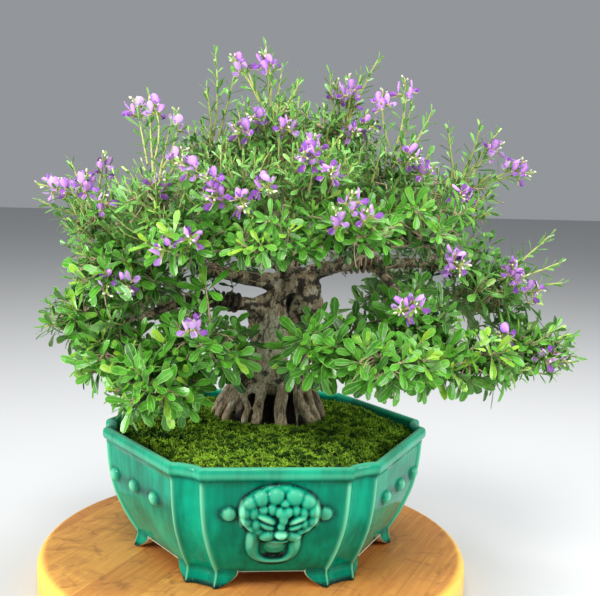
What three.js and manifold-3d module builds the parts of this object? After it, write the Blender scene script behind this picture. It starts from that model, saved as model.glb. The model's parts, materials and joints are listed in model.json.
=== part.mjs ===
import * as THREE from 'three';
import { mergeVertices } from 'three/addons/utils/BufferGeometryUtils.js';
import Module from 'manifold-3d';

const wasm = await Module();
wasm.setup();

// Driving dimensions, in millimetres. The origin is the centre of the board's underside.
const BOARD_RADIUS = 216;
const BOARD_THICKNESS = 36;
const POT_PLACE = new THREE.Vector3(11, 8, BOARD_THICKNESS);
const CLEARANCE = 0.3;

// The pot's outline is a hexagon. Its size is given as the hexagon's radius before the corners are cut off.
const LIP_RADIUS = 172;
const CORNER_CUT = 17.7;
const RIB_WIDTH = 5;
const RIB_HEIGHT = 2.2;
const FLUTE_DEPTH = 4;
const POT_HEIGHT = 124;
const FOOT_HEIGHT = 15;
const POT_FLOOR = 27;
const FACE_FACTOR = Math.cos(Math.PI / 6);

// Each row is a height above the board and the outline's radius there, from the belly's foot to the lip
const POT_PROFILE = [
  [FOOT_HEIGHT, 137], [32, 148], [62, 161.5], [111, 168.5], [114, 171.4], [120, LIP_RADIUS],
  [POT_HEIGHT, 168],
];
const CAVITY_PROFILE = [[POT_FLOOR, 130], [62, 151], [POT_HEIGHT + 1, 158]];

// Soil and moss heights above the board
const SOIL_EDGE = 110;
const SOIL_MIDDLE = 125;
const WELL_FLOOR = 118;
const MOSS_DEPTH = 8;
const ROOT_WELL = { x: 6, y: 14, rx: 66, ry: 56 };

// Leaves and flowers at their real size
const BROAD_LEAF = { length: 31, width: 10.5, thick: 2, arch: 4 };
const SMALL_LEAF = { length: 19, width: 5.6, thick: 1.7, arch: 1.5 };
const FLOWER_SIZE = 14;
const STALK_RADIUS = 1.1;
const CORE_SHARE = 0.64;

const UP = new THREE.Vector3(0, 0, 1);
const TURN = 2 * Math.PI;
const GOLDEN_ANGLE = Math.PI * (3 - Math.sqrt(5));

function vec(x, y, z) {
  return new THREE.Vector3(x, y, z);
}

// A small seeded generator, so that every build draws the same numbers
function randomFrom(seed) {
  let state = seed;
  return () => {
    state = (state * 1664525 + 1013904223) % 4294967296;
    return state / 4294967296;
  };
}

function between(low, high, share) {
  return low + (high - low) * share;
}

// Reads a list of [position, value] rows at any position between them
function readRows(rows, position) {
  if (position <= rows[0][0]) return rows[0][1];
  for (let i = 1; i < rows.length; i += 1) {
    const [end, value] = rows[i];
    const [start, before] = rows[i - 1];
    if (position <= end) return between(before, value, (position - start) / (end - start));
  }
  return rows[rows.length - 1][1];
}

// A closed skin over a stack of rings with equally many points, counterclockwise as seen from the stack's end.
// An open stack gets a flat cap at each end, and a closed one runs back to its first ring.
function loft(rings, closed = false) {
  const count = rings[0].length;
  const positions = rings.flat().flatMap((point) => point.toArray());
  const index = [];
  const links = closed ? rings.length : rings.length - 1;
  for (let i = 0; i < links; i += 1) {
    const low = i * count;
    const high = ((i + 1) % rings.length) * count;
    for (let j = 0; j < count; j += 1) {
      const next = (j + 1) % count;
      index.push(low + j, low + next, high + next);
      index.push(low + j, high + next, high + j);
    }
  }
  if (!closed) {
    addCap(positions, index, rings[0], 0, true);
    addCap(positions, index, rings[rings.length - 1], (rings.length - 1) * count, false);
  }
  const geometry = new THREE.BufferGeometry();
  geometry.setAttribute('position', new THREE.Float32BufferAttribute(positions, 3));
  geometry.setIndex(index);
  return geometry;
}

function addCap(positions, index, ring, start, isFirst) {
  const middle = ring.reduce((sum, point) => sum.add(point), vec(0, 0, 0)).divideScalar(ring.length);
  const hub = positions.length / 3;
  positions.push(...middle.toArray());
  for (let j = 0; j < ring.length; j += 1) {
    const next = (j + 1) % ring.length;
    if (isFirst) index.push(hub, start + next, start + j);
    else index.push(hub, start + j, start + next);
  }
}

// Places along a curve, each with two directions across it that turn no more than the curve does
function framesAlong(curve, steps) {
  const points = curve.getPoints(steps);
  const across = vec(0.31, 0.87, 0.38);
  return points.map((point, i) => {
    const before = points[Math.max(i - 1, 0)];
    const tangent = points[Math.min(i + 1, steps)].clone().sub(before).normalize();
    across.projectOnPlane(tangent).normalize();
    return { point, tangent, normal: across.clone(), binormal: tangent.clone().cross(across) };
  });
}

// A round limb of changing thickness along a smooth curve, cut square at both ends
function limbShape(limb, extra = 0) {
  const rings = framesAlong(limb.curve, limb.steps).map(({ point, tangent, normal, binormal }, i) => {
    const centre = point.clone();
    if (i === 0) centre.addScaledVector(tangent, -extra);
    if (i === limb.steps) centre.addScaledVector(tangent, extra);
    const radius = limbRadius(limb, i / limb.steps);
    return Array.from({ length: limb.sides }, (_, j) => {
      const angle = (j / limb.sides) * TURN;
      const reach = radius * (1 + limb.gnarl * Math.sin(3 * angle + 2.2 * i)) + extra;
      return centre.clone()
        .addScaledVector(normal, reach * Math.cos(angle))
        .addScaledVector(binormal, reach * Math.sin(angle));
    });
  });
  return loft(rings);
}

function limbRadius(limb, share) {
  const rows = limb.radii.map((radius, i) => [i / (limb.radii.length - 1), radius]);
  return readRows(rows, share);
}

function makeLimb({ path, radii, sides = 5, steps = path.length - 1, gnarl = 0 }) {
  const points = path.map((place) => (place.isVector3 ? place : vec(...place)));
  const curve = new THREE.CatmullRomCurve3(points, false, 'centripetal');
  return { curve, radii, sides, steps, gnarl };
}

// A thin lens: a rim of points, raised to one ridge point on each face
function lens(rim, top, bottom) {
  const positions = [...rim, top, bottom].flatMap((point) => point.toArray());
  const index = [];
  for (let i = 0; i < rim.length; i += 1) {
    const next = (i + 1) % rim.length;
    index.push(rim.length, i, next);
    index.push(rim.length + 1, next, i);
  }
  const geometry = new THREE.BufferGeometry();
  geometry.setAttribute('position', new THREE.Float32BufferAttribute(positions, 3));
  geometry.setIndex(index);
  return geometry;
}

function toSolid(geometry) {
  const bare = geometry.clone();
  bare.deleteAttribute('normal');
  bare.deleteAttribute('uv');
  const merged = mergeVertices(bare, 1e-4);
  return new wasm.Manifold(new wasm.Mesh({
    numProp: 3,
    vertProperties: Float32Array.from(merged.attributes.position.array),
    triVerts: Uint32Array.from(merged.index.array),
  }));
}

function toGeometry(solid) {
  const { vertProperties, triVerts } = solid.getMesh();
  const geometry = new THREE.BufferGeometry();
  geometry.setAttribute('position', new THREE.Float32BufferAttribute(vertProperties, 3));
  geometry.setIndex(Array.from(triVerts));
  return geometry;
}

function join(solids) {
  return solids.reduce((whole, solid) => whole.add(solid));
}

// A piece that other pieces have to stay clear of, with its box for a quick first test
function asObstacle(geometry) {
  geometry.computeBoundingBox();
  return { solid: toSolid(geometry), box: geometry.boundingBox };
}

function hits(candidate, obstacles) {
  return obstacles.some((other) => (
    other.box.intersectsBox(candidate.box) && !other.solid.intersect(candidate.solid).isEmpty()
  ));
}

function material(color, roughness, metalness = 0) {
  return new THREE.MeshStandardMaterial({ color, roughness, metalness });
}

const BOARD_WOOD = material('#b98a57', 0.55);
const GLAZE = material('#0f8f6c', 0.15);
const SOIL = material('#2b2119', 0.95);
const MOSS = material('#5d7d1e', 0.95);
const BARK = material('#7d746a', 0.9);
const WIRE = material('#2a2522', 0.45, 0.6);
const LEAF = material('#3f8f35', 0.5);
const PETAL = material('#9a63cf', 0.6);

const bonsai = new THREE.Group();
const potGroup = new THREE.Group();
potGroup.position.copy(POT_PLACE);
bonsai.add(potGroup);

function place(group, name, geometry, finish) {
  const mesh = new THREE.Mesh(geometry, finish);
  mesh.name = name;
  group.add(mesh);
}

// Board: a round plate with rounded edges, turned about its centre
function boardShape() {
  const profile = [
    [0, 0], [BOARD_RADIUS - 7, 0], [BOARD_RADIUS, 8], [BOARD_RADIUS, BOARD_THICKNESS - 10],
    [BOARD_RADIUS - 3, BOARD_THICKNESS - 3], [BOARD_RADIUS - 10, BOARD_THICKNESS], [0, BOARD_THICKNESS],
  ].map(([x, y]) => new THREE.Vector2(x, y));
  const shape = new THREE.LatheGeometry(profile, 30);
  shape.rotateX(Math.PI / 2);
  return shape;
}

place(bonsai, 'display_board', boardShape(), BOARD_WOOD);

// Pot outline at one height: at each corner a rib, a concave flute and another rib, and plain faces between
function potOutline(radius, z) {
  const ring = [];
  for (let corner = 0; corner < 6; corner += 1) {
    const angle = (corner / 6) * TURN;
    const outward = vec(Math.cos(angle), Math.sin(angle), 0);
    const tip = outward.clone().multiplyScalar(radius).setZ(z);
    const along = [-1, 1].map((side) => {
      const turn = angle + side * (TURN / 3);
      return vec(Math.cos(turn), Math.sin(turn), 0);
    });
    const inward = [-1, 1].map((side) => {
      const turn = angle + side * (TURN / 12);
      return vec(-Math.cos(turn), -Math.sin(turn), 0);
    });
    const ribs = along.map((way) => tip.clone().addScaledVector(way, CORNER_CUT));
    const feet = along.map((way, i) => (
      ribs[i].clone().addScaledVector(way, RIB_WIDTH).addScaledVector(inward[i], RIB_HEIGHT)
    ));
    const flute = [0.28, 0.72].map((share) => (
      ribs[0].clone().lerp(ribs[1], share).addScaledVector(outward, -FLUTE_DEPTH)
    ));
    ring.push(feet[0], ribs[0], flute[0], flute[1], ribs[1], feet[1]);
  }
  return ring;
}

// Plain outline of the hollow inside, with flat corners
function cavityOutline(radius, z) {
  const ring = [];
  for (let corner = 0; corner < 6; corner += 1) {
    for (const side of [-1, 1]) {
      const angle = (corner / 6) * TURN + side * 0.12;
      ring.push(vec(radius * 0.97 * Math.cos(angle), radius * 0.97 * Math.sin(angle), z));
    }
  }
  return ring;
}

// Places a point on a face of the pot: u runs along the face to the right, out stands proud of it
function onFace(faceAngle, u, z, out) {
  const wall = readRows(POT_PROFILE, z) * FACE_FACTOR - RIB_HEIGHT + out;
  const normal = vec(Math.cos(faceAngle), Math.sin(faceAngle), 0);
  const right = vec(-Math.sin(faceAngle), Math.cos(faceAngle), 0);
  return normal.multiplyScalar(wall).addScaledVector(right, u).setZ(z);
}

// A low round boss on a face: a foot circle sunk in the wall and a narrower flat crown
function boss(faceAngle, u, z, rx, rz, height, sides = 6) {
  const centre = onFace(faceAngle, 0, z, 0);
  const rings = [[1, -2], [0.55, height]].map(([size, out]) => {
    const ring = [];
    for (let j = 0; j < sides; j += 1) {
      const angle = ((j + 0.5) / sides) * TURN;
      const across = onFace(faceAngle, rx * size * Math.cos(angle), z, 0).sub(centre);
      ring.push(onFace(faceAngle, u, z, out).add(across).add(vec(0, 0, rz * size * Math.sin(angle))));
    }
    return ring;
  });
  return loft(rings);
}

// The ring below the mask: half sunk in the wall, which leans in below it
function maskRing(faceAngle, { u, z, radius, gauge }) {
  const rings = [];
  for (let i = 0; i < 10; i += 1) {
    const angle = (i / 10) * TURN;
    const ring = [[1, 0], [-0.5, -0.9], [-0.5, 0.9]].map(([across, out]) => {
      const reach = radius + across * gauge;
      return onFace(faceAngle, u + Math.cos(angle) * reach, z + Math.sin(angle) * reach, 1.5 + out * gauge);
    });
    rings.push(ring);
  }
  return loft(rings, true);
}

// Lion mask: a domed head with a scalloped mane of curls, a brow, two cheeks and the ring below
const MASK_HEAD = { u: 4, z: 82, rx: 37, rz: 26.5 };
const MASK_RING = { u: 1, z: 50, radius: 19, gauge: 5 };
const MANE_NOTCH = 0.84;

function maskShapes(faceAngle) {
  const head = MASK_HEAD;
  const centre = onFace(faceAngle, 0, head.z, 0);
  const points = 18;
  const rings = [[1, -2], [0.93, 6], [0.62, 9]].map(([size, out]) => (
    Array.from({ length: points }, (_, j) => {
      const angle = ((j + 0.5) / points) * TURN;
      const curl = size * (j % 2 === 0 ? 1 : MANE_NOTCH);
      const across = onFace(faceAngle, head.rx * curl * Math.cos(angle), head.z, 0).sub(centre);
      return onFace(faceAngle, head.u, head.z, out).add(across).add(vec(0, 0, head.rz * curl * Math.sin(angle)));
    })
  ));
  const cheeks = [-1, 1].map((side) => boss(faceAngle, head.u + side * 8.5, head.z - 8, 8, 7, 14, 5));
  const brow = boss(faceAngle, head.u, head.z + 7, 16, 5, 13, 6);
  return [loft(rings), ...cheeks, brow, maskRing(faceAngle, MASK_RING)];
}

// Bracket foot under one corner: it wraps the corner and narrows to the ground along both faces.
// Each ring of it has its height, its radius, its run along a face from the rib, and its depth.
const FOOT_RINGS = [[0, 139, 7, 12], [FOOT_HEIGHT + 3, 136.5, 21, 16]];

function footShape(corner) {
  const angle = (corner / 6) * TURN;
  const outward = vec(Math.cos(angle), Math.sin(angle), 0);
  const rings = FOOT_RINGS.map(([z, radius, run, depth]) => {
    const tip = outward.clone().multiplyScalar(radius).setZ(z);
    const arms = [-1, 1].map((side) => {
      const turn = angle + side * (TURN / 3);
      const way = vec(Math.cos(turn), Math.sin(turn), 0);
      const inwardTurn = angle + side * (TURN / 12);
      const inward = vec(-Math.cos(inwardTurn), -Math.sin(inwardTurn), 0);
      const rib = tip.clone().addScaledVector(way, CORNER_CUT);
      const end = rib.clone().addScaledVector(way, run);
      return { rib, end, endInside: end.clone().addScaledVector(inward, depth) };
    });
    const flute = arms[0].rib.clone().lerp(arms[1].rib, 0.5).addScaledVector(outward, -FLUTE_DEPTH);
    const inside = tip.clone().addScaledVector(outward, -(CORNER_CUT / 2 + depth * 1.25));
    return [arms[0].end, arms[0].rib, flute, arms[1].rib, arms[1].end, arms[1].endInside, inside,
      arms[0].endInside];
  });
  return loft(rings);
}

const FACE_ANGLES = [0, 1, 2, 3, 4, 5].map((face) => THREE.MathUtils.degToRad(270 + face * 60));
const DRAIN_RADIUS = 9;
const DRAIN_PLACE = 55;
const STUD = { radius: 7, height: 4.5, z: 78, spacing: 41 };
const MASK_STUDS = { u: [-41, 45], z: 80 };
// On the four side faces the studs sit nearer to the pot's left and right corners
const STUD_SHIFTS = [0, 14, -14, 0, 14, -14];

function studShape(faceAngle, u, z) {
  return boss(faceAngle, u, z, STUD.radius, STUD.radius, STUD.height, 5);
}

function potShape() {
  const body = toSolid(loft(POT_PROFILE.map(([z, radius]) => potOutline(radius, z))));
  const cavity = toSolid(loft(CAVITY_PROFILE.map(([z, radius]) => cavityOutline(radius, z))));
  const reliefs = [];
  for (const [face, faceAngle] of FACE_ANGLES.entries()) {
    if (face % 3 === 0) {
      reliefs.push(...maskShapes(faceAngle));
      for (const u of MASK_STUDS.u) reliefs.push(studShape(faceAngle, u, MASK_STUDS.z));
    } else {
      for (const step of [-1, 0, 1]) {
        reliefs.push(studShape(faceAngle, STUD_SHIFTS[face] + step * STUD.spacing, STUD.z));
      }
    }
  }
  for (let corner = 0; corner < 6; corner += 1) reliefs.push(footShape(corner));
  let pot = body.subtract(cavity);
  for (const relief of reliefs) pot = pot.add(toSolid(relief));
  for (const x of [-DRAIN_PLACE, DRAIN_PLACE]) pot = pot.subtract(toSolid(drainHole(x)));
  return pot.subtract(cavity);
}

function drainHole(x) {
  const hole = new THREE.CylinderGeometry(DRAIN_RADIUS, DRAIN_RADIUS, POT_FLOOR, 8);
  hole.rotateX(Math.PI / 2);
  hole.translate(x, 0, POT_FLOOR - 2);
  return hole;
}

place(potGroup, 'pot', toGeometry(potShape()), GLAZE);

// The mound of soil and moss rises from the pot's wall to the root flare
const LOOP_POINTS = 24;
const MOSS_WALL_GAP = 1;

function moundHeight(x, y) {
  const reach = Math.min(1, Math.hypot(x, y) / 140);
  return between(SOIL_MIDDLE, SOIL_EDGE, reach ** 2);
}

function wellOutline() {
  return Array.from({ length: LOOP_POINTS }, (_, i) => {
    const angle = (i / LOOP_POINTS) * TURN;
    return vec(ROOT_WELL.x + ROOT_WELL.rx * Math.cos(angle), ROOT_WELL.y + ROOT_WELL.ry * Math.sin(angle), 0);
  });
}

// Distance from the middle to the hollow's wall in one direction, at one height
function cavityReach(angle, z) {
  const radius = readRows(CAVITY_PROFILE, z) * 0.97;
  const corner = Math.round(angle / (TURN / 6)) * (TURN / 6);
  const face = (Math.floor(angle / (TURN / 6)) + 0.5) * (TURN / 6);
  const flatCorner = (radius * Math.cos(0.12)) / Math.cos(angle - corner);
  const flatFace = (radius * Math.cos(TURN / 12 - 0.12)) / Math.cos(angle - face);
  return Math.min(flatCorner, flatFace);
}

function wallOutline() {
  return Array.from({ length: LOOP_POINTS }, (_, i) => {
    const angle = (i / LOOP_POINTS) * TURN;
    const reach = cavityReach(angle, SOIL_EDGE) - MOSS_WALL_GAP;
    return vec(reach * Math.cos(angle), reach * Math.sin(angle), 0);
  });
}

// Loops over the mound, from the root well outwards, at these shares of the way to the pot's wall
function moundRows(shares, raise) {
  const inner = wellOutline();
  const outer = wallOutline();
  return shares.map((share) => inner.map((start, i) => {
    const point = start.clone().lerp(outer[i], share);
    const rise = moundHeight(start.x, start.y);
    const fall = moundHeight(outer[i].x, outer[i].y);
    return point.setZ(between(rise, fall, share) + raise);
  }));
}

function soilShape() {
  const rim = readRows(CAVITY_PROFILE, POT_HEIGHT) - 2 * CLEARANCE;
  const lower = CAVITY_PROFILE.slice(0, 2).map(([z, radius]) => (
    cavityOutline(radius - 2 * CLEARANCE, Math.max(z, POT_FLOOR + CLEARANCE))
  ));
  const block = toSolid(loft([...lower, cavityOutline(rim, POT_HEIGHT)]));
  const [edge, beyond] = moundRows([0, 1.25], 0);
  const floor = wellOutline().map((point) => point.setZ(WELL_FLOOR));
  const lid = beyond.map((point) => point.clone().setZ(POT_HEIGHT + 1));
  return block.subtract(toSolid(loft([floor, edge, beyond, lid])));
}

place(potGroup, 'soil', toGeometry(soilShape()), SOIL);

// Moss: a cushioned carpet over the mound, open round the roots, with broad soft lumps
function mossShape() {
  const lump = (x, y) => 1.6 * Math.sin(x / 11 + 0.7 * Math.sin(y / 9)) * Math.cos(y / 10);
  const thin = moundRows([0, 1], MOSS_DEPTH - 4);
  const thick = moundRows([0.3, 0.75], MOSS_DEPTH);
  for (const point of thick.flat()) point.z += lump(point.x, point.y);
  return loft([...moundRows([0, 1], 2 * CLEARANCE), thin[1], thick[1], thick[0], thin[0]], true);
}

place(potGroup, 'moss', mossShape(), MOSS);

// The trunk's pieces, from the photograph's view: x to the right, y away, z up from the board's top
const TRUNK = makeLimb({
  path: [[3, 18, 120], [1, 18, 150], [-1, 20, 175], [1, 20, 207], [14, 20, 236], [22, 20, 262], [16, 22, 284]],
  radii: [25, 27, 25, 19, 21, 20, 12],
  sides: 9,
  steps: 6,
  gnarl: 0.06,
});

const ROOT_FEET = [
  [-51, 26], [-39, -2], [-17, -20], [8, -26], [34, -16], [56, 12], [46, 44], [8, 58], [-34, 50],
];

function rootLimb([x, y], i) {
  const foot = WELL_FLOOR - 6;
  const middle = vec(3, 18, 0);
  const knee = vec(x, y, 0).lerp(middle, 0.2);
  const neck = vec(x, y, 0).lerp(middle, 0.52);
  const wobble = i % 2 === 0 ? 3 : -3;
  return makeLimb({
    path: [
      neck.setZ(178), knee.clone().lerp(neck, 0.35).add(vec(wobble, 0, 0)).setZ(156),
      knee.setZ(134), vec(x, y, foot),
    ],
    radii: [8, 8.5, 6.5, 7],
    sides: 5,
    steps: 3,
  });
}

const LIMBS = {
  wiredLeft: makeLimb({
    path: [[12, 18, 238], [-14, 10, 244], [-40, 0, 249], [-64, -4, 252], [-92, -10, 248], [-128, -18, 234],
      [-168, -4, 226]],
    radii: [11, 8, 7, 6, 5, 4, 2.4],
  }),
  lowLeft: makeLimb({
    path: [[-60, -3, 251], [-78, -40, 236], [-96, -68, 208], [-112, -88, 190]],
    radii: [4.5, 4, 3.2, 2.2],
  }),
  upperLeft: makeLimb({
    path: [[20, 20, 262], [-8, 12, 270], [-38, 0, 277], [-72, -6, 285], [-110, -10, 305], [-158, 0, 326]],
    radii: [11, 8.5, 7, 6, 4.5, 2.6],
  }),
  wiredRight: makeLimb({
    path: [[22, 20, 266], [50, 12, 280], [76, 2, 288], [106, -2, 290], [140, -4, 292], [182, 2, 288], [220, 0, 272]],
    radii: [12, 8, 7, 6, 5, 4, 2.4],
  }),
  knob: makeLimb({
    path: [[20, 20, 222], [36, 16, 238], [42, 14, 256], [34, 16, 272], [20, 20, 280]],
    radii: [6, 12, 13, 11, 6],
  }),
  lowRight: makeLimb({
    path: [[104, -2, 290], [122, -34, 268], [150, -60, 226], [196, -58, 208], [250, -24, 210]],
    radii: [5, 4.4, 3.8, 3.2, 2.2],
  }),
  strandLeft: makeLimb({
    path: [[4, 20, 250], [-17, 16, 236], [-22, 14, 204], [-20, 16, 168]],
    radii: [5, 5, 4.5, 7],
  }),
  leader: makeLimb({
    path: [[20, 22, 270], [12, 26, 306], [0, 22, 350], [8, 12, 396], [26, 6, 430]],
    radii: [12, 8, 6, 4, 2],
  }),
  front: makeLimb({
    path: [[20, 18, 272], [12, -28, 292], [4, -80, 306], [0, -116, 314]],
    radii: [8, 5.5, 4.2, 2.6],
  }),
  frontRight: makeLimb({
    path: [[50, 12, 280], [62, -36, 290], [70, -84, 300], [64, -108, 318]],
    radii: [6, 5, 3.6, 2.4],
  }),
  backLeft: makeLimb({
    path: [[10, 24, 286], [-28, 66, 300], [-78, 94, 306], [-124, 96, 312]],
    radii: [8, 6, 4.6, 2.6],
  }),
  backRight: makeLimb({
    path: [[20, 24, 284], [52, 64, 296], [96, 94, 304], [138, 104, 318]],
    radii: [8, 6, 4.6, 2.6],
  }),
};

// Limbs that may carry the twigs of the sprays, each from a share of its length outwards
const BEARERS = [
  [LIMBS.wiredLeft, 0.6], [LIMBS.lowLeft, 0.35], [LIMBS.upperLeft, 0.45], [LIMBS.wiredRight, 0.6],
  [LIMBS.lowRight, 0.35], [LIMBS.leader, 0.25], [LIMBS.front, 0.4], [LIMBS.frontRight, 0.4],
  [LIMBS.backLeft, 0.35], [LIMBS.backRight, 0.35],
];

// Leafy sprays: each a bush of leaves given by its centre and its half sizes, and the number of upright shoots
const SPRAYS = [
  ['upper_left_outer', [-172, 0, 328], [43, 54, 42], 1],
  ['upper_left_low', [-150, -48, 289], [46, 46, 28], 0],
  ['upper_left_middle', [-112, -58, 352], [46, 44, 42], 1],
  ['upper_left_front', [-80, -104, 310], [48, 42, 34], 0],
  ['top_left', [-58, 4, 392], [44, 46, 40], 1],
  ['upper_front_left', [-38, -100, 366], [44, 42, 42], 0],
  ['top_middle_left', [-2, -26, 424], [42, 42, 38], 2],
  ['front_middle', [-10, -140, 316], [44, 36, 32], 0],
  ['upper_front_middle', [36, -98, 380], [42, 42, 42], 0],
  ['top_middle_right', [68, 6, 414], [44, 46, 40], 2],
  ['front_right', [64, -128, 322], [46, 38, 36], 0],
  ['top_right', [112, -44, 378], [46, 46, 42], 1],
  ['upper_right_front', [138, -86, 322], [48, 42, 38], 0],
  ['upper_right_outer', [188, 4, 362], [48, 52, 42], 1],
  ['right_outer', [228, -2, 268], [50, 50, 36], 1],
  ['low_left_outer', [-184, 12, 230], [44, 48, 34], 0],
  ['low_left_middle', [-150, -56, 208], [46, 40, 32], 0],
  ['low_left_tip', [-112, -104, 184], [44, 34, 30], 0],
  ['low_left_front', [-66, -86, 222], [42, 38, 34], 0],
  ['low_right_inner', [46, -102, 221], [44, 38, 34], 0],
  ['low_right_tip', [102, -136, 216], [46, 34, 32], 0],
  ['low_right_middle', [134, -72, 244], [46, 40, 34], 0],
  ['low_right_front', [190, -94, 210], [46, 38, 30], 0],
  ['low_right_outer', [266, -26, 210], [46, 46, 32], 0],
  ['back_left', [-134, 86, 326], [52, 50, 44], 0],
  ['back_middle_left', [-48, 122, 346], [50, 46, 46], 1],
  ['back_middle_right', [46, 126, 350], [50, 46, 46], 1],
  ['back_right', [142, 100, 342], [54, 50, 44], 0],
  ['back_top', [4, 70, 412], [50, 44, 42], 0],
  ['back_low_left', [-120, 92, 240], [50, 46, 34], 0],
  ['back_low_right', [150, 96, 244], [52, 46, 34], 0],
];

// Flower stalks: each spray of flowers starts inside one leafy spray and ends in clusters at these places
const FLOWER_SPRAYS = [
  ['upper_left_outer', [[-225, -6, 361], [-203, -14, 366], [-162, -10, 390], [-158, -58, 355]]],
  ['upper_left_middle', [[-126, -18, 446], [-94, -22, 434], [-86, -90, 398]]],
  ['upper_left_front', [[-106, -146, 316], [-78, -152, 324]]],
  ['upper_left_low', [[-152, -92, 268], [-132, -98, 270]]],
  ['upper_front_left', [[-62, -136, 360], [-34, -150, 352], [-12, -146, 366]]],
  ['top_middle_left', [[-42, -30, 486], [-14, -34, 489], [-40, -66, 420], [8, -70, 424]]],
  ['upper_front_middle', [[14, -148, 396], [40, -152, 384]]],
  ['top_middle_right', [[60, -8, 466], [80, -6, 462], [76, -48, 420]]],
  ['front_right', [[42, -168, 352], [68, -170, 354]]],
  ['top_right', [[100, -40, 458], [120, -44, 470], [122, -96, 396], [140, -88, 388]]],
  ['upper_right_outer', [[174, -62, 362], [224, -14, 412], [248, -16, 396], [258, -14, 386]]],
  ['right_outer', [[242, -58, 286], [262, -48, 272]]],
  ['upper_right_front', [[162, -134, 306]]],
  ['low_right_middle', [[106, -134, 262], [120, -132, 266]]],
  ['low_right_outer', [[270, -70, 208], [288, -62, 204], [216, -66, 230]]],
  ['low_left_front', [[-78, -130, 250]]],
  ['back_middle_left', [[-70, 172, 380], [-20, 174, 366]]],
  ['back_right', [[124, 150, 382], [176, 146, 366]]],
];

const TWIG_SHORTEST = 7;
const TWIG_TIP = 1.5;
const TWIG_GAP = CLEARANCE + 0.1;

// Everything below the floor of the root well, which cuts the roots' feet level
function groundBlock() {
  const block = new THREE.BoxGeometry(LIP_RADIUS, LIP_RADIUS, POT_HEIGHT);
  return block.translate(0, 0, WELL_FLOOR + CLEARANCE - POT_HEIGHT / 2);
}

// The nearest place on a limb that may bear a spray
function nearestOnLimbs(target) {
  let best = null;
  for (const [limb, from] of BEARERS) {
    for (let k = 0; k <= 12; k += 1) {
      const point = limb.curve.getPointAt(between(from, 0.97, k / 12));
      const distance = point.distanceTo(target);
      if (!best || distance < best.distance) best = { point, distance };
    }
  }
  return best.point;
}

// The dense inner twigs and leaves of one spray, as a faceted bush
function coreShape([, centre, size]) {
  const shape = new THREE.IcosahedronGeometry(1, 0);
  shape.scale(size[0] * CORE_SHARE, size[1] * CORE_SHARE, size[2] * CORE_SHARE);
  shape.translate(...centre);
  return shape;
}

const cores = SPRAYS.map((row) => new THREE.Mesh(coreShape(row)));

// Where a straight way towards a spray's heart first meets its core, and the core's facet there
function seatOnCore(spray, from) {
  const heart = vec(...SPRAYS[spray][1]);
  const way = heart.clone().sub(from);
  const ray = new THREE.Raycaster(from, way.clone().normalize(), 0, way.length());
  const [hit] = ray.intersectObject(cores[spray]);
  return hit ? { point: hit.point, normal: hit.face.normal } : null;
}

// A twig from the nearest limb to a spray's core, cut square just short of the facet that it meets.
// A spray that a limb already runs through has none.
function twigTo(row, spray) {
  const start = nearestOnLimbs(vec(...row[1]));
  const seat = seatOnCore(spray, start);
  if (!seat || start.distanceTo(seat.point) < TWIG_SHORTEST) return null;
  const lean = start.clone().sub(seat.point).angleTo(seat.normal);
  const gap = TWIG_GAP + TWIG_TIP * Math.sin(lean);
  const end = seat.point.clone().addScaledVector(seat.normal, gap);
  return makeLimb({ path: [start, end], radii: [2.6, TWIG_TIP], sides: 3 });
}

const twigs = SPRAYS.map(twigTo).filter(Boolean);
const woodParts = [TRUNK, ...ROOT_FEET.map(rootLimb), ...Object.values(LIMBS), ...twigs];
const trunkSolid = join(woodParts.map((limb) => toSolid(limbShape(limb)))).subtract(toSolid(groundBlock()));
const trunkClear = join(woodParts.map((limb) => toSolid(limbShape(limb, CLEARANCE + 0.05))));
place(potGroup, 'trunk', toGeometry(trunkSolid), BARK);

// Training wire: a coil round a limb, from one share of its length to another
const WIRE_RADIUS = 1.5;
const WIRE_STEPS = 6;
const WIRE_FRAMES = 120;

function wireShape(limb, from, to, turns) {
  const steps = turns * WIRE_STEPS;
  const frames = framesAlong(limb.curve, WIRE_FRAMES);
  const points = [];
  for (let i = 0; i <= steps; i += 1) {
    const share = between(from, to, i / steps);
    const { normal, binormal } = frames[Math.round(share * WIRE_FRAMES)];
    const angle = (i / WIRE_STEPS) * TURN;
    const reach = (limbRadius(limb, share) + WIRE_RADIUS + 3 * CLEARANCE) / Math.cos(TURN / 2 / WIRE_STEPS);
    points.push(limb.curve.getPoint(share)
      .addScaledVector(normal, reach * Math.cos(angle))
      .addScaledVector(binormal, reach * Math.sin(angle)));
  }
  return limbShape(makeLimb({ path: points, radii: [WIRE_RADIUS, WIRE_RADIUS], sides: 3, steps }));
}

const wires = [
  ['training_wire_left', wireShape(LIMBS.wiredLeft, 0.24, 0.44, 5)],
  ['training_wire_right', wireShape(LIMBS.wiredRight, 0.27, 0.46, 5)],
];
for (const [name, shape] of wires) place(potGroup, name, shape, WIRE);

const wireSolids = wires.map(([, shape]) => asObstacle(shape));
const finished = [{ solid: trunkClear, box: boxOf(trunkSolid) }, ...wireSolids];

function boxOf(solid) {
  const geometry = toGeometry(solid);
  geometry.computeBoundingBox();
  return geometry.boundingBox.expandByScalar(CLEARANCE);
}

// Frame with x along a direction and y across it, rolled about it
function frameAlong(origin, direction, roll) {
  const along = direction.clone().normalize();
  const side = UP.clone().cross(along);
  if (side.lengthSq() < 1e-3) side.set(0, 1, 0);
  side.normalize();
  const over = along.clone().cross(side);
  const matrix = new THREE.Matrix4().makeBasis(along, side, over).setPosition(origin);
  return matrix.multiply(new THREE.Matrix4().makeRotationX(roll));
}

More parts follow.
